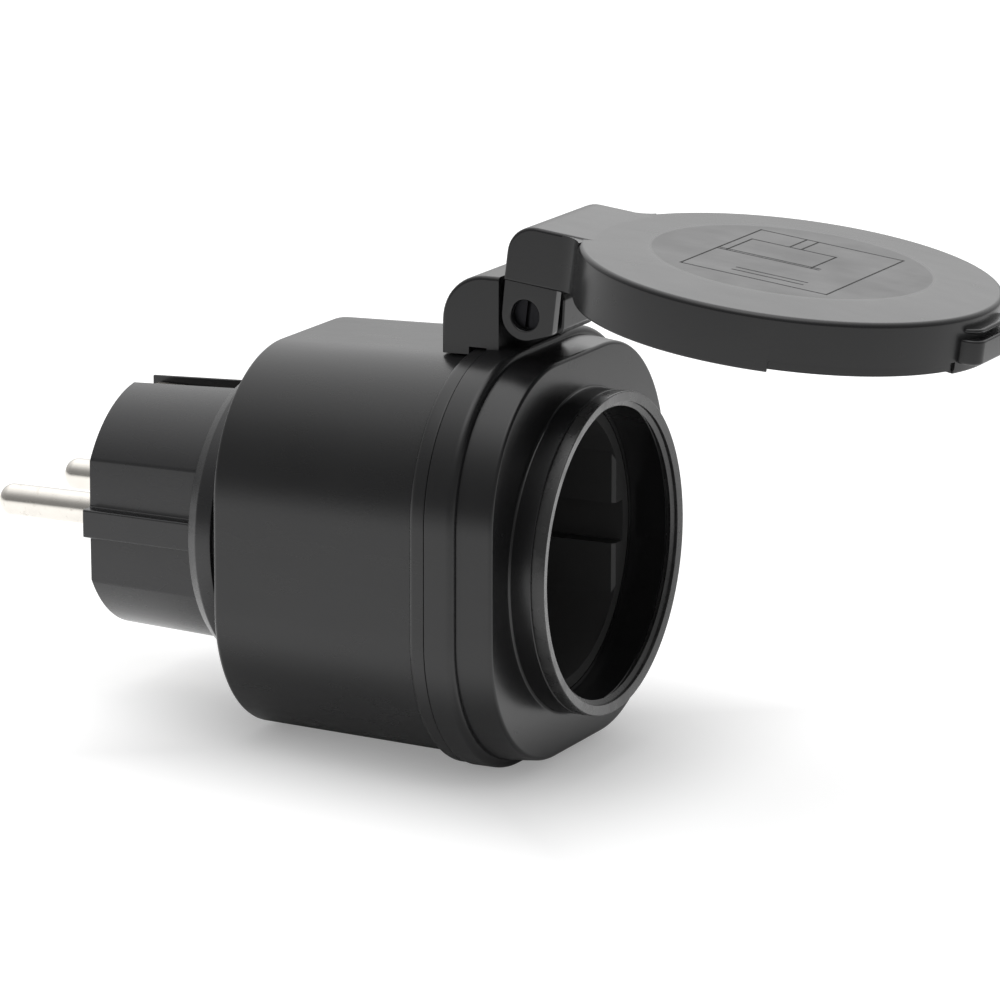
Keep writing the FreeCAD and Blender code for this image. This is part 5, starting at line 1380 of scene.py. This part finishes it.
@dataclass
class Studio:
    """The camera, the floor, the lamps and the white surroundings."""

    eye: Point = (-724.24, -417.46, 195.54)
    azimuth: float = -63.670
    elevation: float = 13.203
    roll: float = -0.119
    lens: float = 206.637
    ambient: float = 0.62
    gloss_level: float = 0.22
    soft_boxes: tuple[Glow, ...] = (
        Glow((0.52, 0.2, 0.83), 3.2, 1.7), Glow((0.87, 0.29, 0.39), 60.0, 0.67),
        Glow((-0.25, -0.05, 0.97), 12.0, 1.7))
    lamps: tuple[Lamp, ...] = (
        Lamp("rear_softbox", (650.0, 420.0, -230.0), (700.0, 450.0), 1.2),
        Lamp("top_softbox", (-100.0, 900.0, 100.0), (900.0, 900.0), 2.0))
    floor_front: Spot = (64.0, -30.62)
    floor_back: Spot = (27.4, -28.42)
    floor_reach: float = 3000.0
    floor_colour: Colour = (0.8, 0.8, 0.8)
    floor_gap: float = 0.02
    # Painted shadow on the floor: the footprint box's half sizes and middle, and the fade and levels of its
    # camera glow. Painted reflection: the fade of its gloss glow under the footprint, its far and near
    # levels, and its reach.
    painted_shadow_half: Pair = (30.0, 26.0)
    painted_shadow_middle: float = 50.0
    painted_shadow_edge: Pair = (-8.0, 26.0)
    painted_shadow_glow: Pair = (0.26, 0.27)
    reflected_shadow_edge: Pair = (-2.0, 24.0)
    painted_reflection_glow: Pair = (0.15, 0.6)
    painted_reflection_reach: Pair = (90.0, 350.0)

    def camera(self) -> None:
        """Stand the camera where the photograph was taken."""
        a, e, turn = (math.radians(v) for v in (self.azimuth, self.elevation, self.roll))
        back = Vector((math.sin(a) * math.cos(e), -math.cos(a) * math.cos(e), math.sin(e)))
        right = Vector((math.cos(a), math.sin(a), 0.0))
        upward = back.cross(right)
        rolled = Matrix.Rotation(turn, 3, -back)
        right, upward = rolled @ right, rolled @ upward
        data = bpy.data.cameras.new("camera")
        data.lens = self.lens
        data.sensor_width = 36.0
        data.sensor_fit = "HORIZONTAL"
        data.clip_start, data.clip_end = 0.05, 20.0
        camera = linked("camera", data)
        basis = Matrix((right, upward, back)).transposed().to_4x4()
        camera.matrix_world = Matrix.Translation(Vector(self.eye) * MM) @ basis
        bpy.context.scene.camera = camera

    def surroundings(self) -> None:
        """Set white for the camera and glass, soft boxes for gloss, and an even level for the light."""
        world = bpy.data.worlds.new("surroundings")
        bpy.context.scene.world = world
        kit = start_tree(world)
        path = kit.node("ShaderNodeLightPath")
        seen, shiny = kit.seen(path), kit.value(path, "Is Glossy Ray")
        aimed = kit.node("ShaderNodeTexCoord").outputs["Generated"]
        boxes = self.gloss_level
        for box in self.soft_boxes:
            boxes = boxes + kit.lobe(aimed, box.aim, box.tightness) * box.strength
        level = self.ambient + (seen - shiny) * (1 - self.ambient) + shiny * (boxes - self.ambient)
        light = kit.node("ShaderNodeBackground", None, {"Color": WHITE, "Strength": level})
        kit.node("ShaderNodeOutputWorld", None, {"Surface": light.outputs[0]})

    def floor(self) -> None:
        """Lay a pale floor under the ring and the rear edge, white to the camera where nothing shades it; its
        glow is lower near the socket, a painted shadow.
        """
        (deep_a, up_a), (deep_b, up_b) = self.floor_front, self.floor_back
        slope, reach = (up_a - up_b) / (deep_a - deep_b), self.floor_reach
        mesh = bmesh.new()
        mesh.faces.new([mesh.verts.new(in_socket(x, up_a + slope * (deep - deep_a) - self.floor_gap, deep))
                        for x, deep in ((-reach, -reach), (reach, -reach), (reach, reach), (-reach, reach))])
        data = bpy.data.meshes.new("floor")
        mesh.to_mesh(data)
        mesh.free()
        material = bpy.data.materials.new("floor")
        self.paint_floor(start_tree(material))
        data.materials.append(material)
        linked("floor", data)

    def paint_floor(self, kit: Kit) -> None:
        """Give the floor its colour and its glow. To the camera the glow is weaker near the socket, a painted
        shadow; to gloss it is brighter near the socket, a painted reflection, and gone under its footprint, a
        painted shadow.

        Args:
            kit: The floor material's kit.
        """
        path = kit.node("ShaderNodeLightPath")
        seen, shiny = kit.seen(path), kit.value(path, "Is Glossy Ray")
        across, along, _ = kit.axes()
        along = along + self.painted_shadow_middle
        # Painted shadow: distance outside the socket's footprint.
        past_painted_shadow = kit.maths("MAXIMUM", abs(across) - self.painted_shadow_half[0], abs(along) - self.painted_shadow_half[1])
        # Painted reflection: one near the socket, fading to zero far off.
        near = 1 - (across * across + along * along).fade(*(reach ** 2 for reach in self.painted_reflection_reach))
        (shade, lit), (far, close) = self.painted_shadow_glow, self.painted_reflection_glow
        # Camera glow is lower in and near the footprint, a painted shadow; gloss glow is brighter near the
        # socket, a painted reflection, and gone under it, a painted shadow.
        level = ((seen - shiny) * (shade + past_painted_shadow.fade(*self.painted_shadow_edge) * lit)
                 + shiny * past_painted_shadow.fade(*self.reflected_shadow_edge) * (near * close + far))
        paper = kit.node("ShaderNodeBsdfDiffuse", None, {"Color": (*self.floor_colour, 1.0)})
        glow = kit.node("ShaderNodeEmission", None, {"Color": WHITE, "Strength": level})
        both = kit.node("ShaderNodeAddShader", None, {0: paper.outputs[0], 1: glow.outputs[0]})
        kit.node("ShaderNodeOutputMaterial", None, {"Surface": both.outputs[0]})

    def build(self) -> None:
        """Set up the whole studio."""
        bpy.context.scene.view_settings.view_transform = "Standard"
        self.camera()
        self.surroundings()
        self.floor()
        for lamp in self.lamps:
            lamp.build()


def main() -> None:
    """Build every sub-assembly in order."""
    logging.basicConfig(level=logging.INFO, format="%(name)s: %(message)s")
    Studio().build()
    for part in (PlugHead(), RearHousing(), FrontCover(), Mouth(), SplashLid(), Insides()):
        LOG.info("building %s", type(part).__name__)
        part.build()


if __name__ == "__main__":
    main()
